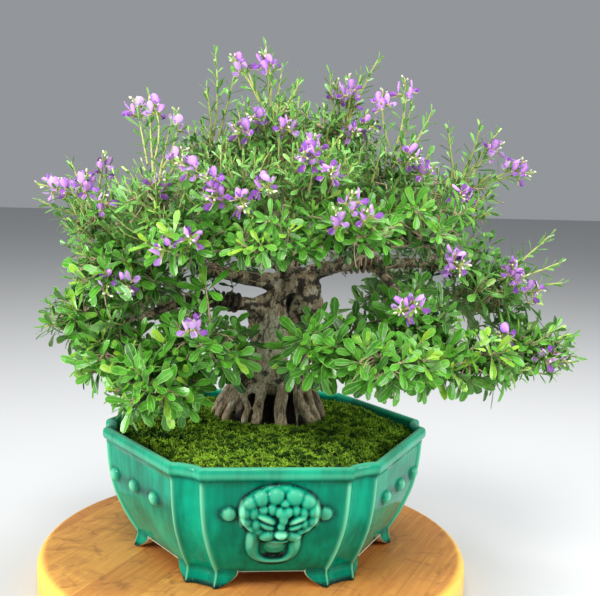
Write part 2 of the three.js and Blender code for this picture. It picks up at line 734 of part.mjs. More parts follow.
// Leaf blade: narrow at its foot, broadest towards its tip, arched along its length
function leafShape({ length, width, thick, arch }, grow = 0) {
  const broadest = 0.64;
  const half = width / 2 + grow;
  const rise = thick / 2 + grow;
  const fall = -arch * broadest ** 2;
  const rim = [
    vec(0, 0, 0), vec(broadest * length, -half, fall), vec(length + grow, 0, -arch),
    vec(broadest * length, half, fall),
  ];
  return lens(rim, vec(broadest * length, 0, fall + rise), vec(broadest * length, 0, fall - rise));
}

// Pea flower in one skin: a broad standard petal leaning out, with the keel as a beak in front of it
function flowerShape(size) {
  const scale = size / 14;
  const rim = [[0, 0, -1], [4.5, 6.4, 6.5], [5, 0, 13], [4.5, -6.4, 6.5]];
  const petals = lens(rim.map((point) => vec(...point)), vec(11.5, 0, 1.5), vec(3, 0, 6.5));
  return petals.scale(scale, scale, scale);
}

const BLOOMS_PER_CLUSTER = 2;
const BLOOM_SPACING = 6.5;
const FORK_HEIGHT = 9;

// Turns a flower's own upward direction along its stalk
const FACING_OUT = new THREE.Matrix4().makeRotationY(Math.PI / 2);

// One spray of flowers: a stem square on its leafy spray's core, parting into stalks that end in blooms
function flowerSpray([host, ends], seed) {
  const random = randomFrom(seed);
  const spray = SPRAYS.findIndex(([name]) => name === host);
  const tips = ends.map((end) => vec(...end));
  const mean = tips.reduce((sum, tip) => sum.add(tip), vec(0, 0, 0)).divideScalar(tips.length);
  const seat = seatOnCore(spray, mean);
  const foot = seat.point.clone().addScaledVector(seat.normal, CLEARANCE);
  const fork = seat.point.clone().addScaledVector(seat.normal, FORK_HEIGHT);
  const stalks = tips.map((tip, i) => makeLimb({
    path: i === 0 ? [foot, fork, tip] : [fork.clone().lerp(tips[0], 0.12 * i), tip],
    radii: [STALK_RADIUS, STALK_RADIUS],
    sides: 3,
    steps: i === 0 ? 2 : 1,
  }));
  const blooms = [];
  for (const stalk of stalks) {
    const start = random() * TURN;
    const tip = stalk.curve.getPoint(1);
    const back = stalk.curve.getPoint(1 - 1 / stalk.steps).sub(tip).normalize();
    for (let i = 0; i < BLOOMS_PER_CLUSTER; i += 1) {
      const root = tip.clone().addScaledVector(back, 1 + BLOOM_SPACING * i);
      const around = new THREE.Matrix4().makeRotationX(start + i * GOLDEN_ANGLE);
      const frame = frameAlong(root, back.clone().negate(), 0).multiply(around).multiply(FACING_OUT);
      blooms.push(flowerShape(FLOWER_SIZE * between(0.9, 1.1, random())).applyMatrix4(frame));
    }
  }
  const solid = join([...stalks.map((stalk) => toSolid(limbShape(stalk))), ...blooms.map(toSolid)]);
  return { name: `flowers_${host}`, solid };
}

const flowerSprays = FLOWER_SPRAYS.map((row, i) => flowerSpray(row, 40 + i));
for (const spray of flowerSprays) {
  place(potGroup, spray.name, toGeometry(spray.solid), PETAL);
  finished.push({ solid: spray.solid, box: boxOf(spray.solid) });
}

// Tries one blade, and adds it if it is clear of every other piece and of the blades already there
function tryBlade(blades, dims, frame, obstacles) {
  const guard = asObstacle(leafShape(dims, CLEARANCE).applyMatrix4(frame));
  if (hits(guard, obstacles) || hits(guard, blades)) return false;
  blades.push(asObstacle(leafShape(dims).applyMatrix4(frame)));
  return true;
}

const BROAD_LEAVES = 10;
const SHOOT_LEAVES = 4;
const TRIES = 8;
const hearts = SPRAYS.map((row) => {
  const solid = toSolid(coreShape(row)).subtract(trunkClear);
  return { solid, box: boxOf(solid) };
});

// One leafy spray: a heart cut clear of the wood, blades standing out all round, and upright shoots
function leafySpray([, centre, size, shoots], spray) {
  const seed = 7 + spray;
  const random = randomFrom(seed);
  const middle = vec(...centre);
  const around = [...finished, ...hearts.filter((_, i) => i !== spray)];
  const blades = [];
  const stems = [];
  for (let k = 0; k < shoots; k += 1) {
    const turn = random() * TURN;
    for (let attempt = 0; attempt < TRIES; attempt += 1) {
      const angle = turn + attempt * 0.8;
      const foot = vec(Math.cos(angle) * size[0] * 0.35, Math.sin(angle) * size[1] * 0.35, size[2] * 0.3);
      const lean = vec(Math.cos(angle) * 0.22, Math.sin(angle) * 0.22, 1).normalize();
      const base = middle.clone().add(foot);
      const tall = size[2] * between(1.0, 1.25, random());
      const stem = makeLimb({
        path: [base, base.clone().addScaledVector(lean, tall)], radii: [1.2, 0.8], sides: 3, steps: 1,
      });
      const guard = asObstacle(limbShape(stem, CLEARANCE));
      if (hits(guard, around)) continue;
      stems.push(asObstacle(limbShape(stem)));
      addShootLeaves(blades, base, lean, tall, random, around);
      break;
    }
  }
  const leaves = BROAD_LEAVES - shoots;
  for (let i = 0; i < leaves; i += 1) {
    const rise = between(0.82, -0.92, (i + 0.5) / leaves);
    for (let attempt = 0; attempt < TRIES; attempt += 1) {
      const angle = i * GOLDEN_ANGLE + seed + attempt * 0.35;
      const flat = Math.sqrt(1 - rise * rise);
      const way = vec(flat * Math.cos(angle), flat * Math.sin(angle), rise);
      const share = CORE_SHARE * 0.72;
      const root = middle.clone().add(vec(way.x * size[0] * share, way.y * size[1] * share, way.z * size[2] * share));
      const aim = vec(way.x / size[0], way.y / size[1], way.z / size[2]).normalize();
      aim.add(vec(0, 0, between(-0.15, 0.35, random()))).normalize();
      const frame = frameAlong(root, aim, between(-0.5, 0.5, random()));
      if (tryBlade(blades, BROAD_LEAF, frame, [...stems, ...around])) break;
    }
  }
  return join([hearts[spray], ...stems, ...blades].map((piece) => piece.solid));
}

function addShootLeaves(blades, base, lean, tall, random, around) {
  const start = random() * TURN;
  for (let i = 0; i < SHOOT_LEAVES; i += 1) {
    const root = base.clone().addScaledVector(lean, between(0.45, 1.0, i / (SHOOT_LEAVES - 1)) * tall);
    for (let attempt = 0; attempt < TRIES; attempt += 1) {
      const angle = start + i * GOLDEN_ANGLE + attempt * 0.6;
      const aim = vec(Math.cos(angle), Math.sin(angle), 0.9);
      const frame = frameAlong(root.clone().addScaledVector(lean, -0.5), aim, between(-0.4, 0.4, random()));
      if (tryBlade(blades, SMALL_LEAF, frame, around)) break;
    }
  }
}

for (const [i, row] of SPRAYS.entries()) {
  const solid = leafySpray(row, i);
  place(potGroup, `leaves_${row[0]}`, toGeometry(solid), LEAF);
  finished.push({ solid, box: boxOf(solid) });
}

export default bonsai;
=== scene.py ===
"""The looks of a vietnamese bluebell bonsai in a green glazed pot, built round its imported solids."""
import json
import math
import random

import bpy
import numpy as np
from mathutils import Matrix, Vector, noise
from mathutils.kdtree import KDTree

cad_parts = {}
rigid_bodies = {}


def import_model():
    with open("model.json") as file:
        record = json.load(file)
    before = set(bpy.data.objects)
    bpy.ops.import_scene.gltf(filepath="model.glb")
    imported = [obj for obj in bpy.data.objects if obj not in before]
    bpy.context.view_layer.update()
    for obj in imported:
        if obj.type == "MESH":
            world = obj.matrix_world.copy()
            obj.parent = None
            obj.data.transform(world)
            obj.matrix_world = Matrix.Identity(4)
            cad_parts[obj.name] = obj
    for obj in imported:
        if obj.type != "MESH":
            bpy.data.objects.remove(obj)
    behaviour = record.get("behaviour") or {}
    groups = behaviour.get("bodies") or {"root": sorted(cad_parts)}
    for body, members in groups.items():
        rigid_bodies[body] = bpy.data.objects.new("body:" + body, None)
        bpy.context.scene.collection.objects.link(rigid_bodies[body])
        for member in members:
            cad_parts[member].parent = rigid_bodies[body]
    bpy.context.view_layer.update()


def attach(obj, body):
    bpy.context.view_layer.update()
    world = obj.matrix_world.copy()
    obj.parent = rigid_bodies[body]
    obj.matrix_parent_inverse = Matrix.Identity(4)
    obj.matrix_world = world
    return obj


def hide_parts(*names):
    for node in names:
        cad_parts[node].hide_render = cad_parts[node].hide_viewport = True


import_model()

MM = 0.001
TURN = 2 * math.pi
GOLDEN_ANGLE = math.pi * (3 - math.sqrt(5))
BOARD_THICKNESS = 36.0
# Lengths below are millimetres from the middle of the pot's underside, z up from the board's top
POT_PLACE = np.array([11.0, 8.0, BOARD_THICKNESS])
UP = np.array([0.0, 0.0, 1.0])


# Camera: the photograph's angle, from the pot's front, a little to the left and above
CAMERA_PLACE = (-59.5, -984.8, 436.3)
CAMERA_RIGHT = (0.99481, -0.09749, 0.02916)
CAMERA_UP = (-0.01455, 0.14736, 0.98898)
FOCAL_LENGTH, SENSOR_WIDTH = 60.05, 36.0


def set_camera():
    right, up = Vector(CAMERA_RIGHT), Vector(CAMERA_UP)
    data = bpy.data.cameras.new("camera")
    data.lens = FOCAL_LENGTH
    data.sensor_width = SENSOR_WIDTH
    data.clip_start = 0.05
    data.clip_end = 20.0
    camera = bpy.data.objects.new("camera", data)
    turned = Matrix((right, up, right.cross(up))).transposed().to_4x4()
    camera.matrix_world = Matrix.Translation(Vector(CAMERA_PLACE) * MM) @ turned
    bpy.context.collection.objects.link(camera)
    bpy.context.scene.camera = camera


set_camera()


# Colours and nodes
def linear(hex_colour):
    """An sRGB hex colour as linear red, green, blue and alpha"""
    channels = [int(hex_colour[i:i + 2], 16) / 255 for i in (1, 3, 5)]
    return (*[c / 12.92 if c <= 0.04045 else ((c + 0.055) / 1.055) ** 2.4 for c in channels], 1.0)


def add_node(tree, kind, settings=None, inputs=None):
    """Adds one node. Each input is a constant, or a socket that is linked to it."""
    node = tree.nodes.new(kind)
    for name, value in (settings or {}).items():
        setattr(node, name, value)
    for key, value in (inputs or {}).items():
        if isinstance(value, bpy.types.NodeSocket):
            tree.links.new(value, node.inputs[key])
        else:
            node.inputs[key].default_value = value
    return node


# Sockets of the Mix node for colours
FACTOR, FIRST, SECOND, MIXED = 0, 6, 7, 2


def mesh_value(tree, name):
    """A value that the mesh carries at each point, by its name"""
    return add_node(tree, "ShaderNodeAttribute", {"attribute_name": name}).outputs["Fac"]


def own_place(tree):
    return add_node(tree, "ShaderNodeTexCoord").outputs["Object"]


def stretched(tree, place, scale, rotation=(0.0, 0.0, 0.0)):
    return add_node(tree, "ShaderNodeMapping", {}, {
        "Vector": place, "Rotation": rotation, "Scale": scale,
    }).outputs[0]


def noise_node(tree, place, scale, detail=2.0, roughness=0.5, distortion=0.0):
    """Noise whose lumps are about 1 / scale of a metre"""
    return add_node(tree, "ShaderNodeTexNoise", {}, {
        "Vector": place, "Scale": scale, "Detail": detail, "Roughness": roughness, "Distortion": distortion,
    })


def noise_value(tree, place, scale, detail=2.0, roughness=0.5, distortion=0.0):
    return noise_node(tree, place, scale, detail, roughness, distortion).outputs["Fac"]


def maths(tree, operation, *values):
    return add_node(tree, "ShaderNodeMath", {"operation": operation}, dict(enumerate(values))).outputs[0]


def ramp(tree, value, low, high, top=1.0, bottom=0.0, kind="SMOOTHSTEP"):
    """From bottom where the value is low, up to top where it is high"""
    return add_node(tree, "ShaderNodeMapRange", {"interpolation_type": kind}, {
        "Value": value, "From Min": low, "From Max": high, "To Min": bottom, "To Max": top,
    }).outputs[0]


def blend(tree, share, first, second, mode="MIX"):
    """The first colour passing into the second; each is a hex colour or a socket"""
    first, second = (linear(colour) if isinstance(colour, str) else colour for colour in (first, second))
    return add_node(tree, "ShaderNodeMix", {"data_type": "RGBA", "blend_type": mode},
                    {FACTOR: share, FIRST: first, SECOND: second}).outputs[MIXED]


def bumped(tree, height, strength, distance):
    """A surface's direction with a fine relief, its depth in metres"""
    return add_node(tree, "ShaderNodeBump", {}, {
        "Strength": strength, "Distance": distance, "Height": height,
    }).outputs[0]


def new_tree(name):
    """The emptied node tree of a new material"""
    material = bpy.data.materials.new(name)
    material.use_nodes = True
    material.node_tree.nodes.clear()
    return material, material.node_tree


def finished(material, surface):
    """The material, with the shader's inputs given by name"""
    tree = material.node_tree
    shader = add_node(tree, "ShaderNodeBsdfPrincipled", {}, surface)
    add_node(tree, "ShaderNodeOutputMaterial", {}, {"Surface": shader.outputs["BSDF"]})
    return material


# Leaf blade: living leaf with a thin waxy skin, silky on its edge and grey-green below
def leaf_material(name, old, ripe, young):
    material, tree = new_tree(name)
    across = mesh_value(tree, "across")
    # mottling of about 4 mm within a blade
    mottle = noise_value(tree, own_place(tree), 260.0)
    # tone holds painted light and shade from each leaf's place in the crown, a random spread, and a lift for
    # young leaves; the dark colour at its low end is that of old leaves and also the painted shade
    shade = maths(tree, "ADD", maths(tree, "MULTIPLY_ADD", mottle, 0.30, -0.15), mesh_value(tree, "tone"))
    green = blend(tree, ramp(tree, shade, 0.05, 0.55), old, ripe)
    fresh = blend(tree, ramp(tree, shade, 0.6, 1.0), green, young)
    ribbed = blend(tree, ramp(tree, across, 0.16, 0.0, 0.38), fresh, "#a8cf7a")
    below = maths(tree, "MULTIPLY", mesh_value(tree, "underside"), 0.7)
    two_sided = blend(tree, below, ribbed, "#86b070")
    edged = blend(tree, ramp(tree, across, 0.78, 1.0, 0.6), two_sided, "#bcd98c")
    return finished(material, {"Base Color": edged, "Normal": bumped(tree, mottle, 0.25, 0.0004),
                               "Roughness": 0.31, "IOR": 1.45})


# Stem skin: green and smooth when young, tan and fibrous once it is woody
def stem_material(name):
    material, tree = new_tree(name)
    streak = noise_value(tree, own_place(tree), 330.0, 4.0)
    tan = blend(tree, streak, "#6e5b44", "#dcc6a0")
    skin = blend(tree, mesh_value(tree, "woody"), "#b9c56c", tan)
    return finished(material, {"Base Color": skin, "Roughness": 0.7,
                               "Normal": bumped(tree, streak, 0.4, 0.0004)})


# Pea petals: thin and velvety, lilac with a violet edge; the keel is nearly white and the calyx olive
def petal_material(name):
    material, tree = new_tree(name)
    part = mesh_value(tree, "petal_part")
    standard = blend(tree, ramp(tree, mesh_value(tree, "across"), 0.25, 0.95), "#d99ae6", "#a266d2")
    wing = blend(tree, mesh_value(tree, "along"), "#c684de", "#8442b8")
    petals = blend(tree, maths(tree, "GREATER_THAN", part, 0.5), standard, wing)
    age = ramp(tree, mesh_value(tree, "tone"), 0.45, 1.0, 0.6, kind="LINEAR")
    faded = blend(tree, age, petals, "#dfc2ee")
    keeled = blend(tree, maths(tree, "GREATER_THAN", part, 1.5), faded, "#e2dcc0")
    whole = blend(tree, maths(tree, "GREATER_THAN", part, 2.5), keeled, "#a9b05a")
    return finished(material, {"Base Color": whole, "Roughness": 0.55, "Sheen Weight": 0.3,
                               "Sheen Roughness": 0.5, "IOR": 1.4})


# Stoneware glaze: copper green, thin and minty on raised edges, where the mint also serves as painted
# highlights, thick and dark in hollows, glassy all over
def glaze_material(name):
    material, tree = new_tree(name)
    pool, bare = mesh_value(tree, "pool"), mesh_value(tree, "bare")
    place = own_place(tree)
    # runs of glaze down the wall, about 5 mm wide and 60 mm long, over clouds of 45 mm
    runs = noise_value(tree, stretched(tree, place, (1.0, 1.0, 0.09)), 170.0, 3.0)
    depth = maths(tree, "MULTIPLY_ADD", runs, 0.5, noise_value(tree, place, 22.0, 3.0))
    body = blend(tree, ramp(tree, depth, 0.52, 1.0), "#007257", "#00a07c")
    hollow = blend(tree, pool, body, "#02231f")
    # speckle of about 1 mm where the glaze is thick
    crystal = ramp(tree, noise_value(tree, place, 900.0), 0.6, 0.72, 0.45)
    crystalled = blend(tree, maths(tree, "MULTIPLY", crystal, pool), hollow, "#7fa7c4")
    # mint of thin glaze, which also carries the painted highlights
    minty = blend(tree, mesh_value(tree, "thin"), crystalled, "#7fd8ab")
    clay = blend(tree, bare, minty, "#dccdb2")
    return finished(material, {
        "Base Color": clay, "Roughness": ramp(tree, bare, 0.0, 1.0, 0.8, 0.1, "LINEAR"),
        "Normal": bumped(tree, depth, 0.06, 0.0005), "IOR": 1.5, "Specular IOR Level": 0.11,
    })


# Cushion moss: matte living tips, yellow-green where they catch the light, with painted shade nearly black
# between them
def moss_material(name):
    material, tree = new_tree(name)
    place = own_place(tree)
    # patches of about 30 mm, and single leaflets of about 1.5 mm
    patch = noise_value(tree, place, 34.0, 4.0, 0.6)
    fleck = noise_node(tree, place, 640.0, 3.0).outputs["Color"]
    lit = maths(tree, "MULTIPLY_ADD", mesh_value(tree, "tone"), 0.45, patch)
    green = blend(tree, ramp(tree, lit, 0.48, 1.02), "#1f4a10", "#9cc636")
    flecked = blend(tree, 0.55, green, fleck, "OVERLAY")
    # painted shade, nearly black, between the leaflets and in the carpet's hollows
    painted_gap_shade = blend(tree, ramp(tree, mesh_value(tree, "tip"), 0.0, 0.8), "#0d1606", flecked)
    return finished(material, {"Base Color": painted_gap_shade, "Roughness": 0.9, "Specular IOR Level": 0.2})


# Potting soil: dark damp granules of bark and clay, about 3 mm across
def soil_material(name):
    material, tree = new_tree(name)
    place = own_place(tree)
    granule = add_node(tree, "ShaderNodeTexVoronoi", {}, {"Vector": place, "Scale": 300.0}).outputs[0]
    tint = blend(tree, noise_value(tree, place, 120.0, 5.0), "#0c0906", "#3d2d20")
    return finished(material, {"Base Color": tint, "Roughness": 0.9,
                               "Normal": bumped(tree, granule, 0.8, 0.0015)})


# Old bark: grey-brown and fibrous, silvery with lichen where it is lit, and nearly black in its folds from
# its own dark fissures and painted shade; painted shade also under the limbs, between the roots and in the
# fork's hollow
def bark_material(name):
    material, tree = new_tree(name)
    pale, clean = mesh_value(tree, "pale"), mesh_value(tree, "clean")
    place = own_place(tree)
    # fibres 1 mm wide and 8 mm long, lichen patches of 12 mm, crust of 1.5 mm
    fibre = noise_value(tree, stretched(tree, place, (1.0, 1.0, 0.16)), 520.0, 5.0, 0.65)
    crust = noise_value(tree, place, 420.0, 6.0, 0.7)
    wood = blend(tree, ramp(tree, fibre, 0.32, 0.68), "#7a664c", "#d2bf9c")
    # young roots are washed clean of lichen and blots
    washed_patch = maths(tree, "MULTIPLY_ADD", clean, -0.06, noise_value(tree, place, 80.0, 4.0))
    lichen = ramp(tree, maths(tree, "MULTIPLY_ADD", pale, 0.22, washed_patch), 0.48, 0.66, 0.85)
    lichen_spots = maths(tree, "MULTIPLY", lichen, ramp(tree, crust, 0.38, 0.58))
    lichened = blend(tree, lichen_spots, wood, "#e6e6c8")
    # old wood shows dark between the lichen, in blots of 10 mm
    washed_blot = maths(tree, "MULTIPLY_ADD", clean, -0.13, noise_value(tree, place, 105.0, 6.0, 0.62))
    blot = ramp(tree, maths(tree, "MULTIPLY_ADD", pale, -0.16, washed_blot), 0.48, 0.55, 0.9)
    blotchy = blend(tree, blot, lichened, "#231f1a")
    # the bark's own dark fissures, with painted shade in them, on the low lumps and in the fork's hollow
    cracked = blend(tree, ramp(tree, mesh_value(tree, "ridge"), 0.1, 0.55), "#1d1712", blotchy)
    # painted shade, multiplied over the bark where the mesh's field asks for it
    shaded = blend(tree, mesh_value(tree, "damp"), cracked, "#39312b", "MULTIPLY")
    relief = maths(tree, "ADD", fibre, crust)
    return finished(material, {"Base Color": shaded, "Roughness": 0.8,
                               "Normal": bumped(tree, relief, 0.7, 0.0013)})


# Training wire: annealed aluminium, anodised dark brown, dulled outdoors
def wire_material(name):
    material, tree = new_tree(name)
    tint = blend(tree, noise_value(tree, own_place(tree), 240.0, 3.0), "#241d19", "#5a4b3f")
    dusty = blend(tree, mesh_value(tree, "weathered"), tint, "#a08a70")
    return finished(material, {"Base Color": dusty, "Metallic": 0.3, "Roughness": 0.5})


# Board: glued strips of light hardwood under worn varnish, with dark joints and tide marks of old water
STRIP_WIDTH = 52.0
STRIP_ANGLE = math.radians(61)


def board_material(name):
    material, tree = new_tree(name)
    place = own_place(tree)
    # x runs along the strips and y across them, counted in strip widths
    turned = stretched(tree, place, (1.0, 1.0, 1.0), (0.0, 0.0, -STRIP_ANGLE))
    across = add_node(tree, "ShaderNodeSeparateXYZ", {}, {0: turned}).outputs["Y"]
    strip = maths(tree, "MULTIPLY_ADD", across, 1 / (STRIP_WIDTH * MM), 0.31)
    draw = add_node(tree, "ShaderNodeTexWhiteNoise", {"noise_dimensions": "1D"},
                    {"W": maths(tree, "FLOOR", strip)}).outputs["Value"]
    # grain lines of 1.5 mm, drawn out along each strip and shifted from strip to strip
    shift = add_node(tree, "ShaderNodeCombineXYZ", {}, {0: draw, 1: draw}).outputs[0]
    moved = add_node(tree, "ShaderNodeVectorMath", {"operation": "ADD"}, {0: turned, 1: shift}).outputs[0]
    grain = noise_value(tree, stretched(tree, moved, (0.05, 1.0, 0.3)), 330.0, 5.0, distortion=0.3)
    mottle = noise_node(tree, place, 28.0, 6.0, 0.62, 1.4).outputs
    tint = maths(tree, "MULTIPLY_ADD", draw, 0.45, grain)
    wood = blend(tree, ramp(tree, tint, 0.35, 1.05, kind="LINEAR"), "#b87438", "#e2a550")
    stain = ramp(tree, mottle["Fac"], 0.42, 0.64, 0.6)
    stained = blend(tree, stain, wood, "#bb7c42")
    # tide marks: thin dark outlines of dried puddles, 25 to 40 mm across
    waved = add_node(tree, "ShaderNodeVectorMath", {"operation": "MULTIPLY_ADD"},
                     {0: mottle["Color"], 1: (0.02, 0.02, 0.0), 2: place}).outputs[0]
    puddle = add_node(tree, "ShaderNodeTexVoronoi", {"feature": "DISTANCE_TO_EDGE"},
                      {"Vector": stretched(tree, waved, (1.0, 1.0, 0.0)), "Scale": 30.0}).outputs["Distance"]
    tide = maths(tree, "MULTIPLY", ramp(tree, puddle, 0.06, 0.0, 0.75), stain)
    marked = blend(tree, tide, stained, "#6b4526")
    joint = ramp(tree, maths(tree, "FRACT", strip), 0.016, 0.0, 0.75)
    jointed = blend(tree, joint, marked, "#5d3a1e")
    edge_grain = blend(tree, grain, "#efb03e", "#fdd76a")
    pale = blend(tree, mesh_value(tree, "side"), jointed, edge_grain)
    return finished(material, {
        "Base Color": pale, "Roughness": ramp(tree, mottle["Fac"], 0.0, 1.0, 0.62, 0.3, "LINEAR"),
        "Normal": bumped(tree, grain, 0.25, 0.0004), "Specular IOR Level": 0.35,
    })


# Floor: plain pale matte studio paper
def floor_material(name):
    material, _ = new_tree(name)
    return finished(material, {"Base Color": linear("#c2c3c3"), "Roughness": 0.9})


BROAD_LEAF = leaf_material("broad_leaf_blade", "#144412", "#4e9c22", "#a6cc34")
FINE_LEAF = leaf_material("fine_leaf_blade", "#1f5420", "#66aa42", "#bcd662")
STEM = stem_material("stem_skin")
PETALS = petal_material("pea_petals")
GLAZE = glaze_material("copper_green_glaze")
MOSS = moss_material("cushion_moss")
SOIL = soil_material("potting_soil")
BARK = bark_material("old_bark")
WIRE = wire_material("anodised_wire")
BOARD = board_material("varnished_board")


# Meshes
def store(mesh, fields, domain="POINT"):
    """Gives a mesh its named values"""
    for key, values in fields.items():
        layer = mesh.attributes.new(key, "FLOAT", domain)
        layer.data.foreach_set("value", np.asarray(values, dtype=np.float32))


def make_piece(name, points, faces, material, attributes=None):
    """A mesh object from points in millimetres from the pot's foot, with point attributes by name"""
    mesh = bpy.data.meshes.new(name)
    places = (np.asarray(points, dtype=float) + POT_PLACE) * MM
    mesh.from_pydata(places.tolist(), [], faces)
    store(mesh, attributes or {})
    mesh.materials.append(material)
    mesh.shade_smooth()
    mesh.validate()
    piece = bpy.data.objects.new(name, mesh)
    bpy.context.collection.objects.link(piece)
    return piece


def hand_over(piece, node):
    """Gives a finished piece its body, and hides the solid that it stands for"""
    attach(piece, "root")
    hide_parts(node)


def ring_faces(rows, columns):
    """Quads between neighbouring rings of points"""
    return [
        (i * columns + j, i * columns + (j + 1) % columns, (i + 1) * columns + (j + 1) % columns,
         (i + 1) * columns + j)
        for i in range(rows - 1) for j in range(columns)
    ]


def closed_rings(rows, columns):
    """Quads between rings, and fans from two points after them: one under the first ring, one on the last"""
    faces = ring_faces(rows, columns)
    low, high, last = rows * columns, rows * columns + 1, (rows - 1) * columns
    for j in range(columns):
        nearby = (j + 1) % columns
        faces += [(low, nearby, j), (high, last + j, last + nearby)]
    return faces


def directions(path):
    """A path's direction at each of its points"""
    tangents = np.gradient(path, axis=0)
    return tangents / np.linalg.norm(tangents, axis=1)[:, None]


def run_along(path):
    """Each point's distance along a path"""
    return np.concatenate([[0.0], np.cumsum(np.linalg.norm(np.diff(path, axis=0), axis=1))])


def places_at(path, run, at):
    """Places on a path at distances along it"""
    return np.stack([np.interp(at, run, path[:, axis]) for axis in range(3)], axis=-1)


def heading(angle):
    """A direction along the ground"""
    return np.array([math.cos(angle), math.sin(angle)])


def smooth_path(points, steps):
    """Evenly parted points on a smooth curve through the given ones, each with its share of the way"""
    given = np.asarray(points, dtype=float)
    chord = np.linalg.norm(np.diff(given, axis=0), axis=1) ** 0.5
    knots = np.concatenate([[0.0], np.cumsum(chord)])
    slopes = np.gradient(given, knots, axis=0)
    fine = np.linspace(0.0, knots[-1], 240)
    cell = np.clip(np.searchsorted(knots, fine, side="right") - 1, 0, len(given) - 2)
    width = (knots[cell + 1] - knots[cell])[:, None]
    part = (fine[:, None] - knots[cell][:, None]) / width
    curve = (
        (2 * part**3 - 3 * part**2 + 1) * given[cell] + (part**3 - 2 * part**2 + part) * width * slopes[cell]
        + (3 * part**2 - 2 * part**3) * given[cell + 1] + (part**3 - part**2) * width * slopes[cell + 1]
    )
    run = run_along(curve)
    even = np.linspace(0.0, run[-1], steps + 1)
    knot_share = np.interp(np.interp(even, run, fine), knots, np.linspace(0.0, 1.0, len(given)))
    return places_at(curve, run, even), knot_share


def tube(path, radii, sides):
    """Rings of points round a path, with round closed ends"""
    path = np.asarray(path)
    tangents = directions(path)
    across = np.array([0.31, 0.87, 0.38])
    angles = np.arange(sides) / sides * TURN
    points = []
    for place, tangent, radius in zip(path, tangents, radii):
        across = across - tangent * across.dot(tangent)
        across /= np.linalg.norm(across)
        over = np.cross(tangent, across)
        points.extend(place + radius * (math.cos(a) * across + math.sin(a) * over) for a in angles)
    points.append(path[0] - tangents[0] * radii[0] * 0.6)
    points.append(path[-1] + tangents[-1] * radii[-1] * 0.6)
    return np.array(points), closed_rings(len(path), sides)


def join_shells(shells):
    """Several lists of points and faces as one"""
    points, faces, start = [], [], 0
    for shell_points, shell_faces in shells:
        points.append(shell_points)
        faces.extend(tuple(start + i for i in face) for face in shell_faces)
        start += len(shell_points)
    return np.concatenate(points), faces


def smoothstep(low, high, value):
    part = np.clip((value - low) / (high - low), 0.0, 1.0)
    return part * part * (3 - 2 * part)


# Pot: a hexagon whose corners are cut to a flute between two ribs
CORNER_CUT = 17.7
RIB_HEIGHT = 2.2
FLUTE_DEPTH = 4.0
FACE_FACTOR = math.cos(math.pi / 6)
# Numbers of the faces with a mask, of the six counted from the front one
MASK_FACES = (0, 3)

# Each row is the hexagon's radius and the height
WALL_ROWS = [(137, 15), (141.8, 22), (148, 32), (154.6, 45), (161.5, 62), (165.6, 80), (167.7, 98),
             (168.5, 111)]
LIP_ROWS = [(169.0, 112.0), (170.4, 112.8), (171.5, 114.2), (172, 116.4), (172, 119.0), (171.6, 121.4),
            (170.5, 123.2), (168.6, 124), (166.2, 123.9), (164.2, 123.0), (163.0, 121.2), (162.2, 118.5)]
INNER_ROWS = [(160.5, 114), (158, 106), (155.5, 92), (151, 62), (141, 44), (130, 29), (122, 27), (70, 27)]
UNDERSIDE_ROWS = [(70, 17.2), (118, 17.0), (131, 16.4), (135.2, 15.2)]


def interpolate_rows(rows, count):
    """Radii and heights evenly parted along a smooth line through the rows"""
    path, _ = smooth_path([(radius, z, 0.0) for radius, z in rows], count)
    return path[:, 0], path[:, 1]


def pot_columns():
    """Places round the pot, as shares from rib to rib on a face and as shares across a corner's flute"""
    columns = []
    for face in range(6):
        if face in MASK_FACES:
            fine = np.linspace(-0.62, 0.78, 114)
            left = np.linspace(-1.0, -0.62, 15)[:-1]
            right = np.linspace(0.78, 1.0, 10)[1:]
            shares = np.concatenate([left, fine, right])
        else:
            studs = [(STUD_SHIFTS[face] + step * STUD_SPACING) / STUD_HALF_FACE for step in (-1, 0, 1)]
            fine = [np.linspace(stud - 0.125, stud + 0.125, 9) for stud in studs]
            plain = [share for share in np.linspace(-1.0, 1.0, 27)
                     if min(abs(share - stud) for stud in studs) > 0.14]
            shares = np.concatenate([*fine, plain])
        shares = np.sort(np.concatenate([shares, [-0.985, -0.965, 0.965, 0.985]]))
        columns.extend(("face", face, share) for share in shares)
        flute = [0.03, 0.07, 0.12, 0.18, 0.26, 0.36, 0.5, 0.64, 0.74, 0.82, 0.88, 0.93, 0.97]
        columns.extend(("flute", face, share) for share in flute)
    return columns


def dome(u, z, centre_u, centre_z, reach_u, reach_z, height, lean=0.0, steepness=0.5):
    """Height of one rounded lump on the wall"""
    du, dz = u - centre_u, z - centre_z
    turned_u = du * math.cos(lean) + dz * math.sin(lean)
    turned_z = dz * math.cos(lean) - du * math.sin(lean)
    inside = 1 - (turned_u / reach_u) ** 2 - (turned_z / reach_z) ** 2
    return height * np.clip(inside, 0.0, 1.0) ** steepness


